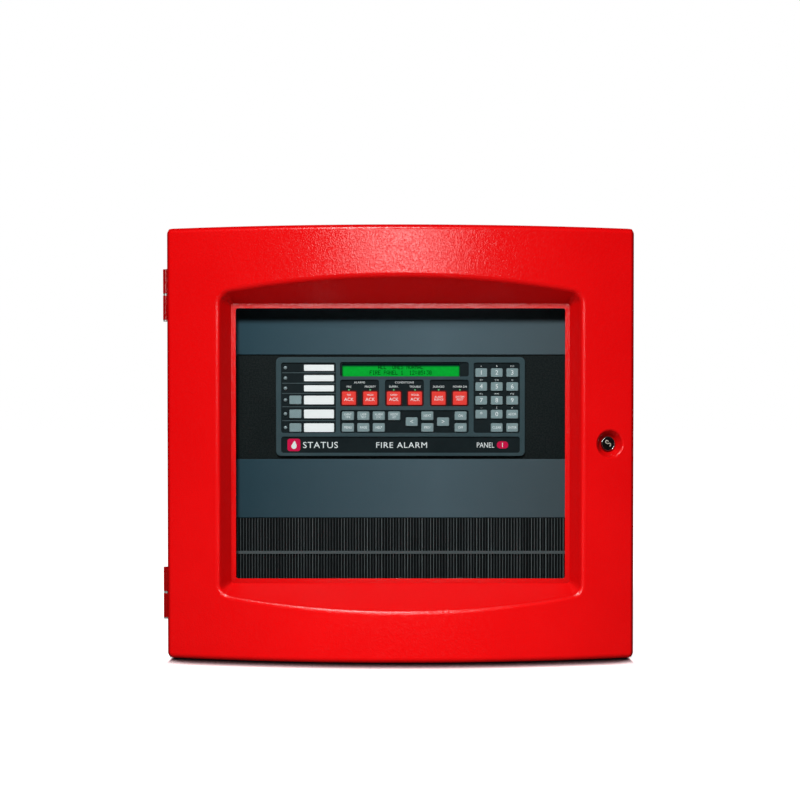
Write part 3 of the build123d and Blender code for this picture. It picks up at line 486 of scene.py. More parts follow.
def mesh_of(bm, name, smooth=False):
    """Turns a bmesh into a mesh with its faces pointing outwards."""
    mesh = bpy.data.meshes.new(name)
    bmesh.ops.recalc_face_normals(bm, faces=bm.faces)
    bm.to_mesh(mesh)
    bm.free()
    for polygon in mesh.polygons:
        polygon.use_smooth = smooth
    return mesh


def add_solid(name, bm, material, body, smooth=False):
    """Adds a piece made from a bmesh."""
    add_piece(name, mesh_of(bm, name, smooth), material, body)


def slab(bm, x0, x1, y0, y1, z0, z1):
    """Adds a rectangular block to a bmesh."""
    outline = ((x0, z0), (x1, z0), (x1, z1), (x0, z1))
    corners = [bm.verts.new((x, y, z)) for y in (y0, y1) for x, z in outline]
    front, back = corners[:4], corners[4:]
    bm.faces.new(front)
    bm.faces.new(back[::-1])
    for i in range(4):
        j = (i + 1) % 4
        bm.faces.new((front[i], back[i], back[j], front[j]))


def rounded_outline(x0, x1, z0, z1, radius, steps=6):
    """Corner points of a rounded rectangle, anticlockwise as seen from the front."""
    points = []
    for cx, cz, start in ((x1 - radius, z1 - radius, 0), (x0 + radius, z1 - radius, 90),
                          (x0 + radius, z0 + radius, 180), (x1 - radius, z0 + radius, 270)):
        for i in range(steps + 1):
            a = math.radians(start + 90 * i / steps)
            points.append((cx + radius * math.cos(a), cz + radius * math.sin(a)))
    return points


def plate(bm, points, y0, y1):
    """A flat plate with the given outline, from y0 (front) to y1 (back)."""
    front = [bm.verts.new((x, y0, z)) for x, z in points]
    back = [bm.verts.new((x, y1, z)) for x, z in points]
    bm.faces.new(front)
    bm.faces.new(back[::-1])
    for i in range(len(points)):
        j = (i + 1) % len(points)
        bm.faces.new((front[i], back[i], back[j], front[j]))


def ring_plate(bm, outer, inner, y0, y1):
    """A flat ring between two outlines with the same number of points."""
    rings = [[bm.verts.new((x, y, z)) for x, z in pts] for y in (y0, y1) for pts in (outer, inner)]
    n = len(outer)
    for i in range(n):
        j = (i + 1) % n
        for a, b in ((0, 1), (1, 3), (3, 2), (2, 0)):
            bm.faces.new((rings[a][i], rings[a][j], rings[b][j], rings[b][i]))


def skin(bm, rows):
    """Closes rows of points into a surface, with a flat face at both ends."""
    steps = len(rows[0])
    for near, far in zip(rows, rows[1:]):
        for i in range(steps):
            j = (i + 1) % steps
            bm.faces.new((near[i], near[j], far[j], far[i]))
    bm.faces.new(rows[0][::-1])
    bm.faces.new(rows[-1])


def turned(bm, profile, centre, steps):
    """A shape turned about Y: profile is a list of (radius, y) in millimetres, closed at both ends."""
    rows = []
    for radius, height in profile:
        row = []
        for i in range(steps):
            a = 2 * math.pi * i / steps
            offset = Vector((radius * math.cos(a), height, radius * math.sin(a)))
            row.append(bm.verts.new(Vector(centre) + offset * MM))
        rows.append(row)
    skin(bm, rows)


CAPITAL_HEIGHT = 0.72                  # of the built-in font, as a part of its size
LETTER_DEPTH = 0.1 * MM


def text_mesh(text, x, z, height, front_y, align="CENTER", spacing=1.0, stretch=1.0, width=None):
    """A mesh of upright text facing -Y; x and z are the middle (or the left end) of the text.

    A width, if given, sets how wide the whole text comes out."""
    curve = bpy.data.curves.new("lettering", "FONT")
    curve.body = text
    curve.size = height / CAPITAL_HEIGHT
    curve.align_x = align
    curve.align_y = "CENTER"
    curve.space_character = spacing
    curve.space_line = 0.9
    curve.extrude = LETTER_DEPTH / 2
    curve.resolution_u = 3
    obj = bpy.data.objects.new("lettering", curve)
    bpy.context.scene.collection.objects.link(obj)
    bpy.context.view_layer.update()
    mesh = bpy.data.meshes.new_from_object(obj.evaluated_get(bpy.context.evaluated_depsgraph_get()))
    bpy.data.objects.remove(obj)
    if width:
        xs = [v.co.x for v in mesh.vertices]
        stretch = width / (max(xs) - min(xs))
    place = Matrix.Translation((x, front_y + LETTER_DEPTH / 2, z)) @ Matrix.Rotation(math.pi / 2, 4, "X")
    mesh.transform(place @ Matrix.Scale(stretch, 4, (1, 0, 0)))
    return mesh


def joined(meshes, name):
    """One mesh from several, in order."""
    bm = bmesh.new()
    for mesh in meshes:
        bm.from_mesh(mesh)
        bpy.data.meshes.remove(mesh)
    made = bpy.data.meshes.new(name)
    bm.to_mesh(made)
    bm.free()
    return made


# ---------------- operator panel
PRINT_LIFT = 0.08 * MM                 # how far print stands in front of what it is printed on
ACK_DROP = 1.6 * MM                    # the acknowledge keys' main word lies below the key's middle
ACK_TOP_RISE = 4.4 * MM                # their smaller word lies above it
LEGENDS = {
    "fire_ack": "ACK", "priority_ack": "ACK", "supervisory_ack": "ACK", "trouble_ack": "ACK",
    "silence": "ALARM\nSILENCE", "reset": "SYSTEM\nRESET",
    "function_1": "EVENT\nTIME", "function_2": "LAMP\nTEST", "function_3": "ALARM\nLOG",
    "function_4": "ROOM\nLIST", "function_5": "MENU", "function_6": "PAGE", "function_7": "HELP",
    "left": "<", "right": ">", "up": "NEXT", "down": "PREV", "enable": "ON", "disable": "OFF",
    "star": "*", "address": "ADDR", "clear": "CLEAR", "enter": "ENTER",
}
for digit in "0123456789":
    LEGENDS[digit] = digit


def legend_size(text, red):
    """How high a legend's capitals are, in millimetres, and how far its letters are squeezed."""
    if red:
        return (4.4, 1.0) if text == "ACK" else (2.7, 0.9)
    if len(text) == 1:
        return 6.0, 1.0
    return (2.9, 0.8) if "\n" in text else (3.4, 0.82)


def key_legends():
    """The white legend on each key; a key's print rides on the key."""
    for name, text in sorted(LEGENDS.items()):
        node = "key_" + name
        middle = flat_mid(node)
        front = middle.y - PRINT_LIFT
        height, stretch = legend_size(text, node in RED_KEYS)
        drop = ACK_DROP if text == "ACK" else 0.0
        meshes = [text_mesh(text, middle.x, middle.z - drop, height * MM, front, stretch=stretch)]
        if text == "ACK":
            kind = name.split("_")[0].upper()[:6]
            meshes.append(text_mesh(kind, middle.x, middle.z + ACK_TOP_RISE, 2.4 * MM, front, stretch=0.85))
        add_piece("legend_" + name, joined(meshes, "legend"), PRINT_WHITE, node)


def panel_print():
    """Rules between the label cards, captions of the lamps, and letters over the number keys."""
    front = FLOOR_FRONT - PRINT_LIFT
    rules = bmesh.new()
    left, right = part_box("operator_bezel")[0].x + 8 * MM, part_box("label_cards")[1].x + 2 * MM
    half_line = 0.45
    for z in (93.1, 79.3, 65.9, 48.3, 30.0):
        slab(rules, left, right, front, FLOOR_FRONT, (z - half_line) * MM, (z + half_line) * MM)
    add_solid("panel_rules", rules, PRINT_GREY, "inner_door")

    words = []
    caption_z, group_z, small = 74.6 * MM, 80.2 * MM, 2.7 * MM
    for node, word in RED_KEY_CAPTIONS.items():
        words.append(text_mesh(word, flat_mid(node).x, caption_z, small, front, stretch=0.92))
    for a, b, word in (("fire", "priority", "ALARMS"), ("supervisory", "trouble", "CONDITIONS")):
        x = (flat_mid(f"key_{a}_ack").x + flat_mid(f"key_{b}_ack").x) / 2
        words.append(text_mesh(word, x, group_z, small, front, spacing=1.1))
    letters = {"1": "A", "2": "B", "3": "C D", "4": "E F", "5": "G H", "6": "I J", "7": "K L", "8": "M N",
               "9": "P Q", "star": "- /", "0": "Z", "address": "#"}
    for name, word in letters.items():
        middle = flat_mid("key_" + name)
        words.append(text_mesh(word, middle.x, middle.z + 8.6 * MM, 2.1 * MM, front))
    add_piece("panel_captions", joined(words, "panel_captions"), PRINT_WHITE, "inner_door")


def key_frames():
    """A dark red printed frame round each red key."""
    frames = bmesh.new()
    rim, wide = 0.95 * MM, 1.5 * MM    # the key's hidden flange, and the frame's own width
    for node in RED_KEYS:
        low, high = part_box(node)
        x0, x1, z0, z1 = low.x + rim, high.x - rim, low.z + rim, high.z - rim
        outer = rounded_outline(x0 - wide, x1 + wide, z0 - wide, z1 + wide, 2.9 * MM)
        inner = rounded_outline(x0, x1, z0, z1, 1.4 * MM)
        ring_plate(frames, outer, inner, FLOOR_FRONT - PRINT_LIFT, FLOOR_FRONT)
    add_solid("alarm_key_frames", frames, PRINT_DARK_RED, "inner_door")


def lamps():
    """Domed lenses over the lamps: six grey status lamps, and a small one over each red key."""
    grey, green = bmesh.new(), bmesh.new()
    dome = [(2.3, 0.45), (2.3, 0.0), (2.1, -0.5), (1.55, -0.95), (0.85, -1.2), (0.15, -1.28)]
    status_x = -151.6 * MM
    for z in (99.6, 86.0, 72.6, 57.2, 38.9, 20.8):
        turned(grey, dome, (status_x, FLOOR_FRONT - 0.46 * MM, z * MM), 20)
    dome = [(1.1, 0.3), (1.1, 0.0), (0.9, -0.35), (0.5, -0.6), (0.1, -0.68)]
    alarm_z = 70.4 * MM
    for node in RED_KEYS:
        turned(green, dome, (flat_mid(node).x, FLOOR_FRONT - 0.42 * MM, alarm_z), 16)
    add_solid("status_lenses", grey, LAMP_GREY, "inner_door", smooth=True)
    add_solid("alarm_lenses", green, LAMP_GREEN, "inner_door", smooth=True)


def title_strip():
    """The strip under the keys: a tile with a flame, a title and the panel's number."""
    front = FLOOR_FRONT - PRINT_LIFT
    middle = -2.0 * MM
    tile = bmesh.new()
    for left, right, half, corner in ((-149, -132, 8.2, 3.2), (127, 142, 4.8, 4.7)):
        outline = rounded_outline(left * MM, right * MM, middle - half * MM, middle + half * MM, corner * MM)
        plate(tile, outline, front, FLOOR_FRONT)
    add_solid("title_tiles", tile, TILE_RED, "inner_door")

    flame = bmesh.new()
    points = []
    steps = 28
    for i in range(steps):
        a = 2 * math.pi * i / steps
        upward = max(0.0, math.cos(a))
        tip, lean = 1 + 0.85 * upward ** 6, 0.9 * upward ** 2
        x, z = -140.5 - 3.5 * math.sin(a) + lean, -1.6 + 3.7 * tip * math.cos(a)
        points.append((x * MM, middle + z * MM))
    plate(flame, points, front - PRINT_LIFT, front)
    add_solid("title_flame", flame, PRINT_WHITE, "inner_door")

    line = middle - 0.6 * MM
    words = [
        text_mesh("FIRE ALARM", 1.5 * MM, line, 7.8 * MM, front, spacing=1.12, width=67 * MM),
        text_mesh("PANEL", 112 * MM, line, 7.2 * MM, front, width=23 * MM),
        text_mesh("STATUS", -129 * MM, line, 8.4 * MM, front, spacing=1.1, align="LEFT", width=46 * MM),
        text_mesh("1", 134.5 * MM, middle - 0.3 * MM, 6.0 * MM, front - PRINT_LIFT),
    ]
    add_piece("title_words", joined(words, "title_words"), PRINT_WHITE, "inner_door")


# ---------------- lock
HALF_WIDTH, CREST_Y = CAD_BOX[1][0], CAD_BOX[0][1]    # of the bowed door
BOW = 42 * MM                          # how far its middle stands in front of its edges
BOW_RADIUS = (HALF_WIDTH ** 2 + BOW ** 2) / (2 * BOW)
LOCK_X = 272.5 * MM                    # where the lock's axis leaves the bowed face
LOCK_TILT = math.asin(LOCK_X / BOW_RADIUS)
LOCK_Y = CREST_Y + BOW_RADIUS * (1 - math.cos(LOCK_TILT))


def bead_ring(bm, radius, thick, depth):
    """A ring of round section round the lock's axis, at a depth below the bowed face."""
    steps, section = 40, 8
    rows = []
    for i in range(steps):
        a = 2 * math.pi * i / steps
        row = []
        for j in range(section):
            b = 2 * math.pi * j / section
            r = radius + thick * math.cos(b)
            row.append(bm.verts.new((r * math.cos(a), depth + thick * math.sin(b), r * math.sin(a))))
        rows.append(row)
    for i in range(steps):
        for j in range(section):
            k, m = (i + 1) % steps, (j + 1) % section
            bm.faces.new((rows[i][j], rows[k][j], rows[k][m], rows[i][m]))


def ridge(bm, points, radius, depth):
    """A round wire that follows a path across the lock's face, closed at both ends."""
    sides = 8
    rows = []
    for i, (x, z) in enumerate(points):
        (x0, z0), (x1, z1) = points[max(i - 1, 0)], points[min(i + 1, len(points) - 1)]
        along = math.atan2(z1 - z0, x1 - x0)
        row = []
        for j in range(sides):
            a = 2 * math.pi * j / sides
            out = radius * math.cos(a)
            row.append(bm.verts.new((x - math.sin(along) * out, depth - radius * math.sin(a),
                                     z + math.cos(along) * out)))
        rows.append(row)
    skin(bm, rows)


def arc(x, z, radius, start, step):
    """Nine points on an arc round (x, z), from start on by step degrees; millimetres."""
    angles = [math.radians(start + step * i) for i in range(9)]
    return [((x + radius * math.cos(a)) * MM, (z + radius * math.sin(a)) * MM) for a in angles]


def lock_face():
    """A bright bead round the barrel, and the winding ward that lines the keyway, whose pale colour is a
    painted glint.
    """
    place = Matrix.Translation((LOCK_X, LOCK_Y, 0.0)) @ Matrix.Rotation(LOCK_TILT, 4, "Z")
    rim = bmesh.new()
    bead_ring(rim, 8.7 * MM, 0.42 * MM, 6.5 * MM)
    mesh = mesh_of(rim, "lock_bead", True)
    mesh.transform(place)
    add_piece("lock_bead", mesh, CHROME, "door")

    # The ward's pale colour is a painted glint.
    ward = bmesh.new()
    path = arc(-1.6, 2.2, 2.0, 10, 25) + arc(1.5, -1.5, 2.1, 150, -28)
    ridge(ward, path, 0.5 * MM, 6.9 * MM)
    mesh = mesh_of(ward, "keyway_glint_ward", True)
    mesh.transform(place)
    add_piece("keyway_glint_ward", mesh, GLINT_WARD, "lock")


# ---------------- back of the door
def hexagon(bm, x, z, radius, y0, y1):
    """A hexagonal nut with its axis along Y."""
    angles = [math.radians(60 * i) for i in range(6)]
    plate(bm, [(x + radius * math.cos(a), z + radius * math.sin(a)) for a in angles], y0, y1)


def retainer_fixings():
    """Weld studs, washers and nuts that hold the window's retainer to the back of the door."""
    flange_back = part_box("window_pane")[0].y + 1.2 * MM
    half_w, half_h = 235.7, 197.2      # the rows of studs, from the window's centre
    places = [(side * half_w, z) for side in (-1, 1) for z in (-150, -75, 0, 75, 150)]
    places += [(x, side * half_h) for side in (-1, 1) for x in (-180, -90, 0, 90, 180)]
    washer, nut_back = 0.7, 3.9
    bm = bmesh.new()
    for x, z in places:
        centre = (x * MM, flange_back, z * MM)
        turned(bm, [(5.0, washer), (5.0, 0.0)], centre, 20)
        hexagon(bm, x * MM, z * MM, 4.0 * MM, flange_back + nut_back * MM, flange_back + washer * MM)
        turned(bm, [(1.7, 8.0), (2.0, 7.6), (2.0, nut_back)], centre, 12)
    add_solid("retainer_fixings", bm, ZINC, "door")


# ---------------- electronics
# The larger parts by their middle, width and height; millimetres. The CAD holds all but MORE_CHIPS.
CAD_CHIPS = [(-60, 150, 28, 28), (-110, 165, 20, 14), (-110, 140, 20, 14)]
MORE_CHIPS = [(-180, 160, 18, 10), (-180, 140, 18, 10), (-205, 110, 12, 24), (-20, 110, 30, 12),
              (-20, 180, 14, 14), (20, 140, 10, 24)]
HEADER_AND_CELL = [(-215, 205, 44, 9), (22, 190, 20, 20)]
POWER_TALL_PARTS = [(100, 165, 26, 26), (132, 165, 26, 26), (220, 152, 18, 44), (176, 155, 34, 30),
                    (215, 78, 28, 16), (118, 72, 76, 10)]
LEG_PITCH, LEG_LONG, LEG_WIDE, LEG_THICK = 2.0, 1.8, 0.9, 0.7


def board_part(bm, x, z, w, h, tall, board=PCB_FRONT):
    """A small part on a board's front, or on its back if tall is negative; millimetres."""
    slab(bm, (x - w / 2) * MM, (x + w / 2) * MM, (board - tall) * MM, board * MM,
         (z - h / 2) * MM, (z + h / 2) * MM)


def legs_above_and_below(bm, x, z, w, h, tall=LEG_THICK, board=PCB_FRONT):
    """A chip's tinned legs along its upper and lower sides."""
    for side in (-1, 1):
        for i in range(int(w / LEG_PITCH) - 1):
            leg_x, leg_z = x - w / 2 + (i + 1) * LEG_PITCH, z + side * (h + LEG_LONG) / 2
            board_part(bm, leg_x, leg_z, LEG_WIDE, LEG_LONG, tall, board)


def legs_beside(bm, x, z, w, h):
    """A chip's tinned legs along its left and right sides."""
    for side in (-1, 1):
        for i in range(int(h / LEG_PITCH) - 1):
            leg_x, leg_z = x + side * (w + LEG_LONG) / 2, z - h / 2 + (i + 1) * LEG_PITCH
            board_part(bm, leg_x, leg_z, LEG_LONG, LEG_WIDE, LEG_THICK)


def small_parts(bm, count, x0, x1, z0, z1, keep_off, seed):
    """Scattered chip resistors and capacitors that keep off the larger parts."""
    draw = random.Random(seed)
    room = 5
    for _ in range(count):
        x, z = draw.uniform(x0, x1), draw.uniform(z0, z1)
        w, h = draw.choice(((3.2, 1.6), (1.6, 3.2), (2.4, 1.3), (5.0, 3.9)))
        if all(abs(x - cx) > cw / 2 + room or abs(z - cz) > ch / 2 + room for cx, cz, cw, ch in keep_off):
            board_part(bm, x, z, w, h, 0.9)


def terminal_screws():
    """A slotted screw in each field terminal."""
    heads, slots = bmesh.new(), bmesh.new()
    pitch, bed, z = 7.6, PCB_FRONT - 11.0, 39.0
    for x0, poles in ((-240, 12), (-140, 12), (-40, 10), (80, 7), (144, 12)):
        for i in range(poles):
            x = x0 + (i + 0.5) * pitch
            turned(heads, [(1.9, 0.0), (1.9, -1.1), (1.6, -1.4)], (x * MM, bed * MM, z * MM), 14)
            board_part(slots, x, z, 3.0, 0.6, 0.15, bed - 1.3)
    add_solid("terminal_screws", heads, ZINC, "cabinet")
    add_solid("terminal_slots", slots, CHIP_BLACK, "cabinet")


def board_details():
    """Legs, small parts, outlines, indicator lamps and capacitor tops on the two boards."""
    tin, dark, outlines = bmesh.new(), bmesh.new(), bmesh.new()
    for chip in CAD_CHIPS + MORE_CHIPS:
        legs_above_and_below(tin, *chip)
        legs_beside(tin, *chip)
    for x, z, w, h in CAD_CHIPS:
        outer, inner = [
            rounded_outline((x - w / 2 - gap) * MM, (x + w / 2 + gap) * MM,
                            (z - h / 2 - gap) * MM, (z + h / 2 + gap) * MM, corner * MM, 2)
            for gap, corner in ((2.8, 0.6), (2.4, 0.3))]
        ring_plate(outlines, outer, inner, PCB_FRONT * MM - PRINT_LIFT, PCB_FRONT * MM)
    for x, z, w, h in MORE_CHIPS:
        board_part(dark, x, z, w, h, 2.2)
    keep_off = CAD_CHIPS + MORE_CHIPS + HEADER_AND_CELL
    small_parts(dark, 150, -238, 40, 84, 212, keep_off, 5)
    small_parts(tin, 110, -238, 40, 84, 212, keep_off, 6)
    small_parts(dark, 60, 78, 240, 90, 150, POWER_TALL_PARTS, 7)
    small_parts(tin, 50, 78, 240, 90, 150, POWER_TALL_PARTS, 8)
    add_solid("board_tinned_parts", tin, ZINC, "cabinet")
    add_solid("board_dark_parts", dark, CHIP_BLACK, "cabinet")
    add_solid("board_outlines", outlines, PRINT_WHITE, "cabinet")

    leds = bmesh.new()
    for i in range(6):
        centre = ((-160 + 9 * i) * MM, PCB_FRONT * MM, 90 * MM)
        turned(leds, [(1.5, 0.0), (1.5, -2.2), (1.1, -3.2), (0.3, -3.7)], centre, 14)
    add_solid("board_indicator_lamps", leds, LAMP_GREEN, "cabinet", smooth=True)

    tops = bmesh.new()
    sleeve_rim = 1.6
    for x, z, radius, tall in ((100, 165, 13, 40), (132, 165, 13, 40), (220, 165, 9, 26), (220, 140, 9, 26)):
        centre = (x * MM, (PCB_FRONT - tall) * MM, z * MM)
        turned(tops, [(radius - sleeve_rim, 0.0), (radius - sleeve_rim, -0.3)], centre, 28)
    add_solid("capacitor_tops", tops, ALUMINIUM, "cabinet")


def operator_board_details():
    """Parts on the back of the operator board, seen when the inner door is open."""
    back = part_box("operator_board")[1].y / MM - 7.0
    dark, tin = bmesh.new(), bmesh.new()
    for chip in ((-20, 60, 20, 20), (-80, 70, 18, 10), (90, 60, 12, 20)):
        board_part(dark, *chip, -2.2, back)
        legs_above_and_below(tin, *chip, -LEG_THICK, back)
    draw = random.Random(9)
    for i in range(70):
        x, z = draw.uniform(-145, 145), draw.uniform(12, 100)
        if abs(x + 20) > 18 and abs(x + 80) > 16 and abs(x - 90) > 14:
            board_part(tin if i % 2 else dark, x, z, 3.0, 1.6, -0.8, back)
    add_solid("operator_board_chips", dark, CHIP_BLACK, "inner_door")
    add_solid("operator_board_tin", tin, ZINC, "inner_door")


def battery_details():
    """A blank pale label with a blue band on each battery, and coloured collars round its tabs."""
    low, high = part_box("batteries")
    label_front, half_label = low.y - 0.15 * MM, 66 * MM
    case_top = high.z - 4 * MM
    labels, bands, red, black = bmesh.new(), bmesh.new(), bmesh.new(), bmesh.new()
    for side in (-1, 1):
        x, z = side * 97 * MM, low.z + 72 * MM
        plate(labels, rounded_outline(x - half_label, x + half_label, z - 34 * MM, z + 34 * MM, 3 * MM),
              label_front, low.y)
        slab(bands, x - half_label, x + half_label, label_front - 0.1 * MM, label_front,
             z + 14 * MM, z + 26 * MM)
        for end, collar in ((-1, black), (1, red)):
            tab_x = x + end * 68.5 * MM
            slab(collar, tab_x - 10 * MM, tab_x + 10 * MM, low.y + 9 * MM, low.y + 29 * MM,
                 case_top, case_top + 1.2 * MM)
    add_solid("battery_labels", labels, LABEL_GREY, "cabinet")
    add_solid("battery_bands", bands, BAND_BLUE, "cabinet")
    add_solid("battery_red_collars", red, COLLAR_RED, "cabinet")
    add_solid("battery_black_collars", black, RUBBER, "cabinet")


# ---------------- display
# The display's characters: five columns each, two hexadecimal digits a column, lowest bit at the top.
GLYPHS = {
    "A": "7E1111117E", "E": "7F49494941", "F": "7F09090901", "I": "00417F4100", "L": "7F40404040",
    "M": "7F020C027F", "N": "7F0408107F", "O": "3E4141413E", "P": "7F09090906", "R": "7F09192946",
    "S": "4649494931", "0": "3E5149453E", "1": "00427F4000", "2": "4261514946", "3": "2141454B31",
    "5": "2745454539", ":": "0036360000",
}
BLANK = "0000000000"                   # a space, or a character without a pattern
DISPLAY_LINES = ("ALL ZONES NORMAL", "FIRE PANEL 1  12:05:30")
GLASS_LEFT, GLASS_RIGHT = -77.25 * MM, 78.25 * MM
GLASS_BOTTOM, GLASS_TOP = 88.45 * MM, 105.15 * MM
GLASS_FRONT = FLOOR_BACK - 0.35 * MM


def display_glass():
    """The lit glass of the display, darker at its ends and in the shade along its top."""
    s = Shader("display_green")
    shaded_top = s.remap(s.axis("Z"), GLASS_TOP - 5.0 * MM, GLASS_TOP - 2.4 * MM, 1.0, 0.0)
    left_end = s.remap(s.axis("X"), GLASS_LEFT, GLASS_LEFT + 2.5 * MM)
    right_end = s.remap(s.axis("X"), GLASS_RIGHT, GLASS_RIGHT - 2.0 * MM)
    lit = s.math("MULTIPLY", shaded_top, s.math("MULTIPLY", left_end, right_end))
    grain = s.ramp(s.noise(300, 2.0), (0.3, 0.86), (0.7, 1.0))
    colour = s.mix(s.math("MULTIPLY", lit, grain), (0.001, 0.012, 0.012), (0.0008, 0.360, 0.028))
    green = s.surface(colour=colour, rough=0.35, glow=colour, glow_strength=0.42, specular=0.1)
    bm = bmesh.new()
    outline = rounded_outline(GLASS_LEFT, GLASS_RIGHT, GLASS_BOTTOM, GLASS_TOP, 1.2 * MM)
    plate(bm, outline, GLASS_FRONT, FLOOR_BACK)
    add_solid("display_glass", bm, green, "inner_door")


def display_characters():
    """The characters' dots, just in front of the glass; each line is centred."""
    columns, border, first_row, row_pitch = 40, 3 * MM, 1.7 * MM, 7.4 * MM
    pitch = (GLASS_RIGHT - GLASS_LEFT - 2 * border) / columns
    dot_w, dot_h, filled = pitch / 6, 0.78 * MM, 0.99
    dots = bmesh.new()
    for row, line in enumerate(DISPLAY_LINES):
        start = (columns - len(line)) // 2
        top = GLASS_TOP - first_row - row * row_pitch
        for index, letter in enumerate(line):
            left = GLASS_LEFT + border + (start + index) * pitch
            for column, bits in enumerate(bytes.fromhex(GLYPHS.get(letter, BLANK))):
                for level in range(7):
                    if bits >> level & 1:
                        x, z = left + column * dot_w, top - (level + 1) * dot_h
                        slab(dots, x, x + dot_w * filled, GLASS_FRONT - 0.05 * MM, GLASS_FRONT,
                             z, z + dot_h * filled)
    ink = moulded_plastic("display_ink", (0.0, 0.006, 0.002), (0.0, 0.010, 0.003), 0.7, 0.00001, 0.02)
    add_solid("display_characters", dots, ink, "inner_door")


# ---------------- stage, light and camera
FLOOR_BOUNCE = (0.20, 0.20, 0.20)      # the floor's tone as the object sees it
FLOOR_GLOSS = (0.03, 0.03, 0.03)       # and its tone in reflections
SHADOW_REACH = 0.060                   # how near the panel must be for the floor to lie in its shade
AMBIENT = 0.012                        # how strongly the white room lights the object
UNDER_BOX_Y = -0.105                   # the floor behind this line lies under the box
DOOR_EDGE_Y = -0.132                   # plane of the door's side edges
DISTANCE = 1.83                        # from the camera to that plane
PITCH = math.radians(0.8)              # the camera looks slightly down
VIEW_WIDTH = 1.0551                    # what the picture's long side spans in that plane
SHIFT_UP, SHIFT_SIDE = 0.049, -0.0006  # of the picture's frame, as parts of its long side


def stage():
    """A wide pale floor. The camera sees it near white; the object gets only a soft bounce from it."""
    floor_z = CAD_BOX[0][2]
    bm = bmesh.new()
    far, near, half_width, steps = 60.0, -9.0, 40.0, 24
    rows = [[bm.verts.new((x, near + (far - near) * (i / steps) ** 2, floor_z)) for i in range(steps + 1)]
            for x in (-half_width, half_width)]
    for i in range(steps):
        bm.faces.new((rows[0][i], rows[1][i], rows[1][i + 1], rows[0][i + 1]))
    mesh = mesh_of(bm, "studio_floor", True)
    obj = bpy.data.objects.new("studio_floor", mesh)
    bpy.context.scene.collection.objects.link(obj)
    s = Shader("pale_floor")
    path = s.node("ShaderNodeLightPath").outputs
    seen = path["Is Camera Ray"]
    # Painted contact shadow: the floor darkens close in front of the panel, though not beside it or under
    # the box; its pink tint is a painted bounce of the red paint.
    open_sky = s.node("ShaderNodeAmbientOcclusion", {"Distance": SHADOW_REACH}, samples=12).outputs["AO"]
    beside = s.remap(s.math("ABSOLUTE", s.axis("X")), 288 * MM, 303 * MM)
    behind = s.math("GREATER_THAN", s.axis("Y"), UNDER_BOX_Y)
    open_sky = s.math("MAXIMUM", open_sky, s.math("MAXIMUM", beside, behind))
    shadow = s.ramp(open_sky, (0.62, (0.004, 0.002, 0.002)), (0.76, (0.20, 0.12, 0.13)),
                    (0.90, (0.93, 0.83, 0.84)), (1.0, (1.0, 1.0, 1.0)))
    tone = s.mix(s.noise(2.0, 2.0), (0.90, 0.90, 0.90), (0.93, 0.93, 0.93))
    far_glow = s.remap(s.math("ABSOLUTE", s.axis("Y")), 0.2, 3.0, 0.86, 1.1)
    unseen = s.mix(path["Is Glossy Ray"], FLOOR_BOUNCE, FLOOR_GLOSS)
    darkened = s.node("ShaderNodeMix", {6: tone, 7: shadow, "Factor": 1.0}, data_type="RGBA",
                      blend_type="MULTIPLY").outputs[2]
    mesh.materials.append(s.surface(colour=s.mix(seen, unseen, darkened), rough=0.8, specular=0.0,
                                    glow=shadow, glow_strength=s.math("MULTIPLY", seen, far_glow)))


def area_light(name, place, target, width, height, power):
    """A rectangular lamp that faces a target."""
    data = bpy.data.lights.new(name, "AREA")
    data.shape = "RECTANGLE"
    data.size = width
    data.size_y = height
    data.energy = power
    obj = bpy.data.objects.new(name, data)
    bpy.context.scene.collection.objects.link(obj)
    obj.location = place
    obj.rotation_euler = (Vector(target) - Vector(place)).to_track_quat("-Z", "Y").to_euler()
    return obj


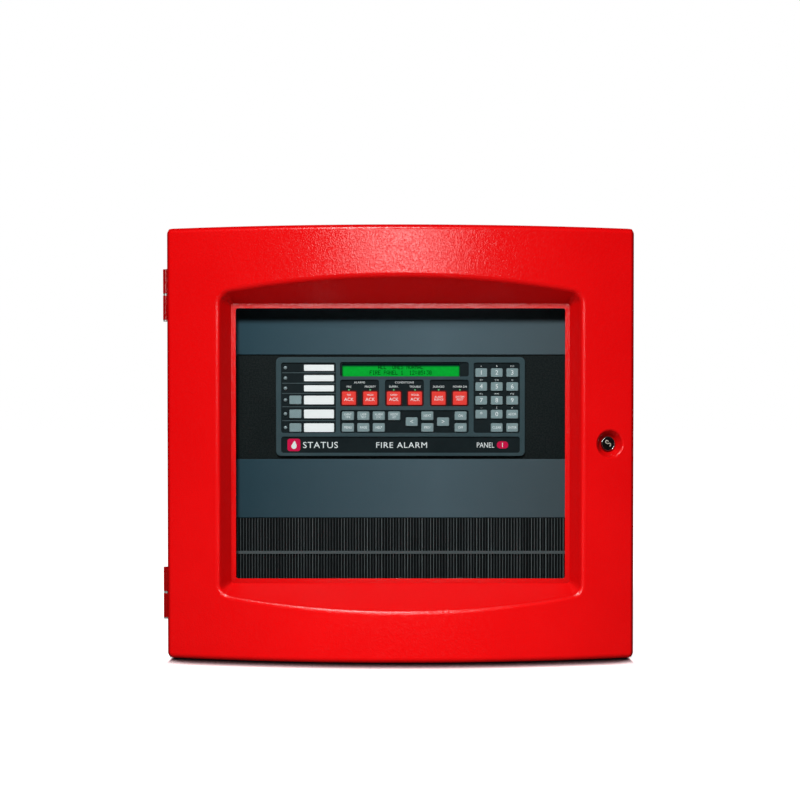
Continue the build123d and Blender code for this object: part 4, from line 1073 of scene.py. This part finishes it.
def lights():
    """A white room to the camera, nearly dark to the object, and a few lamps that model its shape."""
    world = bpy.data.worlds.new("studio")
    bpy.context.scene.world = world
    world.use_nodes = True
    tree = world.node_tree
    background = tree.nodes["Background"]
    background.inputs["Color"].default_value = (1.0, 1.0, 1.0, 1.0)
    path = tree.nodes.new("ShaderNodeLightPath")
    level = tree.nodes.new("ShaderNodeMapRange")
    level.inputs["To Min"].default_value = AMBIENT
    level.inputs["To Max"].default_value = 1.0
    tree.links.new(path.outputs["Is Camera Ray"], level.inputs["Value"])
    tree.links.new(level.outputs["Result"], background.inputs["Strength"])
    area_light("key_above", (-0.38, -2.97, 2.62), (0.0, -0.13, 0.0), 0.9, 0.85, 156)
    fill = area_light("fill_below", (0.02, -0.62, -0.19), (0.02, -0.15, -0.22), 0.30, 0.10, 0.80)
    fill.visible_glossy = False
    fill.visible_camera = False
    lit_by(fill, lambda body: not body.startswith("key_") and body != "inner_door")
    for name, place, power in (("soft_behind", (-1.4, 2.3, 1.5), 42), ("soft_side", (2.4, 0.5, 0.9), 26)):
        lamp = area_light(name, place, (0.0, -0.05, 0.0), 1.4, 1.0, power)
        lamp.visible_camera = False
        lit_by(lamp, lambda body: body == "cabinet")
    glint = area_light("glint_front", (0.0, -2.2, 0.60), (0.0, -0.15, 0.2), 0.70, 0.44, 18)
    glint.visible_diffuse = False
    lit_by(glint, lambda body: body in ("cabinet", "door", "lock"))


def lit_by(light, wanted):
    """Lets a lamp reach only the objects on the wanted bodies."""
    reached = bpy.data.collections.new(light.name + "_reaches")
    for obj in bpy.context.scene.objects:
        bodies = body_of(obj) if obj.type == "MESH" else None
        if bodies and wanted(bodies[0]):
            reached.objects.link(obj)
    light.light_linking.receiver_collection = reached


def camera():
    """The photo's view, nearly square on; the shifts place the panel in the picture."""
    data = bpy.data.cameras.new("camera")
    data.sensor_width = 36.0
    data.lens = data.sensor_width * DISTANCE / VIEW_WIDTH
    data.shift_x = SHIFT_SIDE
    data.shift_y = SHIFT_UP
    data.clip_start = 0.05
    obj = bpy.data.objects.new("camera", data)
    bpy.context.scene.collection.objects.link(obj)
    obj.location = (0.0, DOOR_EDGE_Y - DISTANCE * math.cos(PITCH), DISTANCE * math.sin(PITCH))
    obj.rotation_euler = (math.pi / 2 - PITCH, 0.0, 0.0)
    bpy.context.scene.camera = obj


def view_settings():
    """Plain colours, without a film look."""
    settings = bpy.context.scene.view_settings
    settings.view_transform = "Standard"
    settings.look = "None"


paint_cad()
key_legends()
panel_print()
key_frames()
lamps()
title_strip()
display_glass()
display_characters()
lock_face()
retainer_fixings()
terminal_screws()
board_details()
operator_board_details()
battery_details()
stage()
lights()
camera()
view_settings()
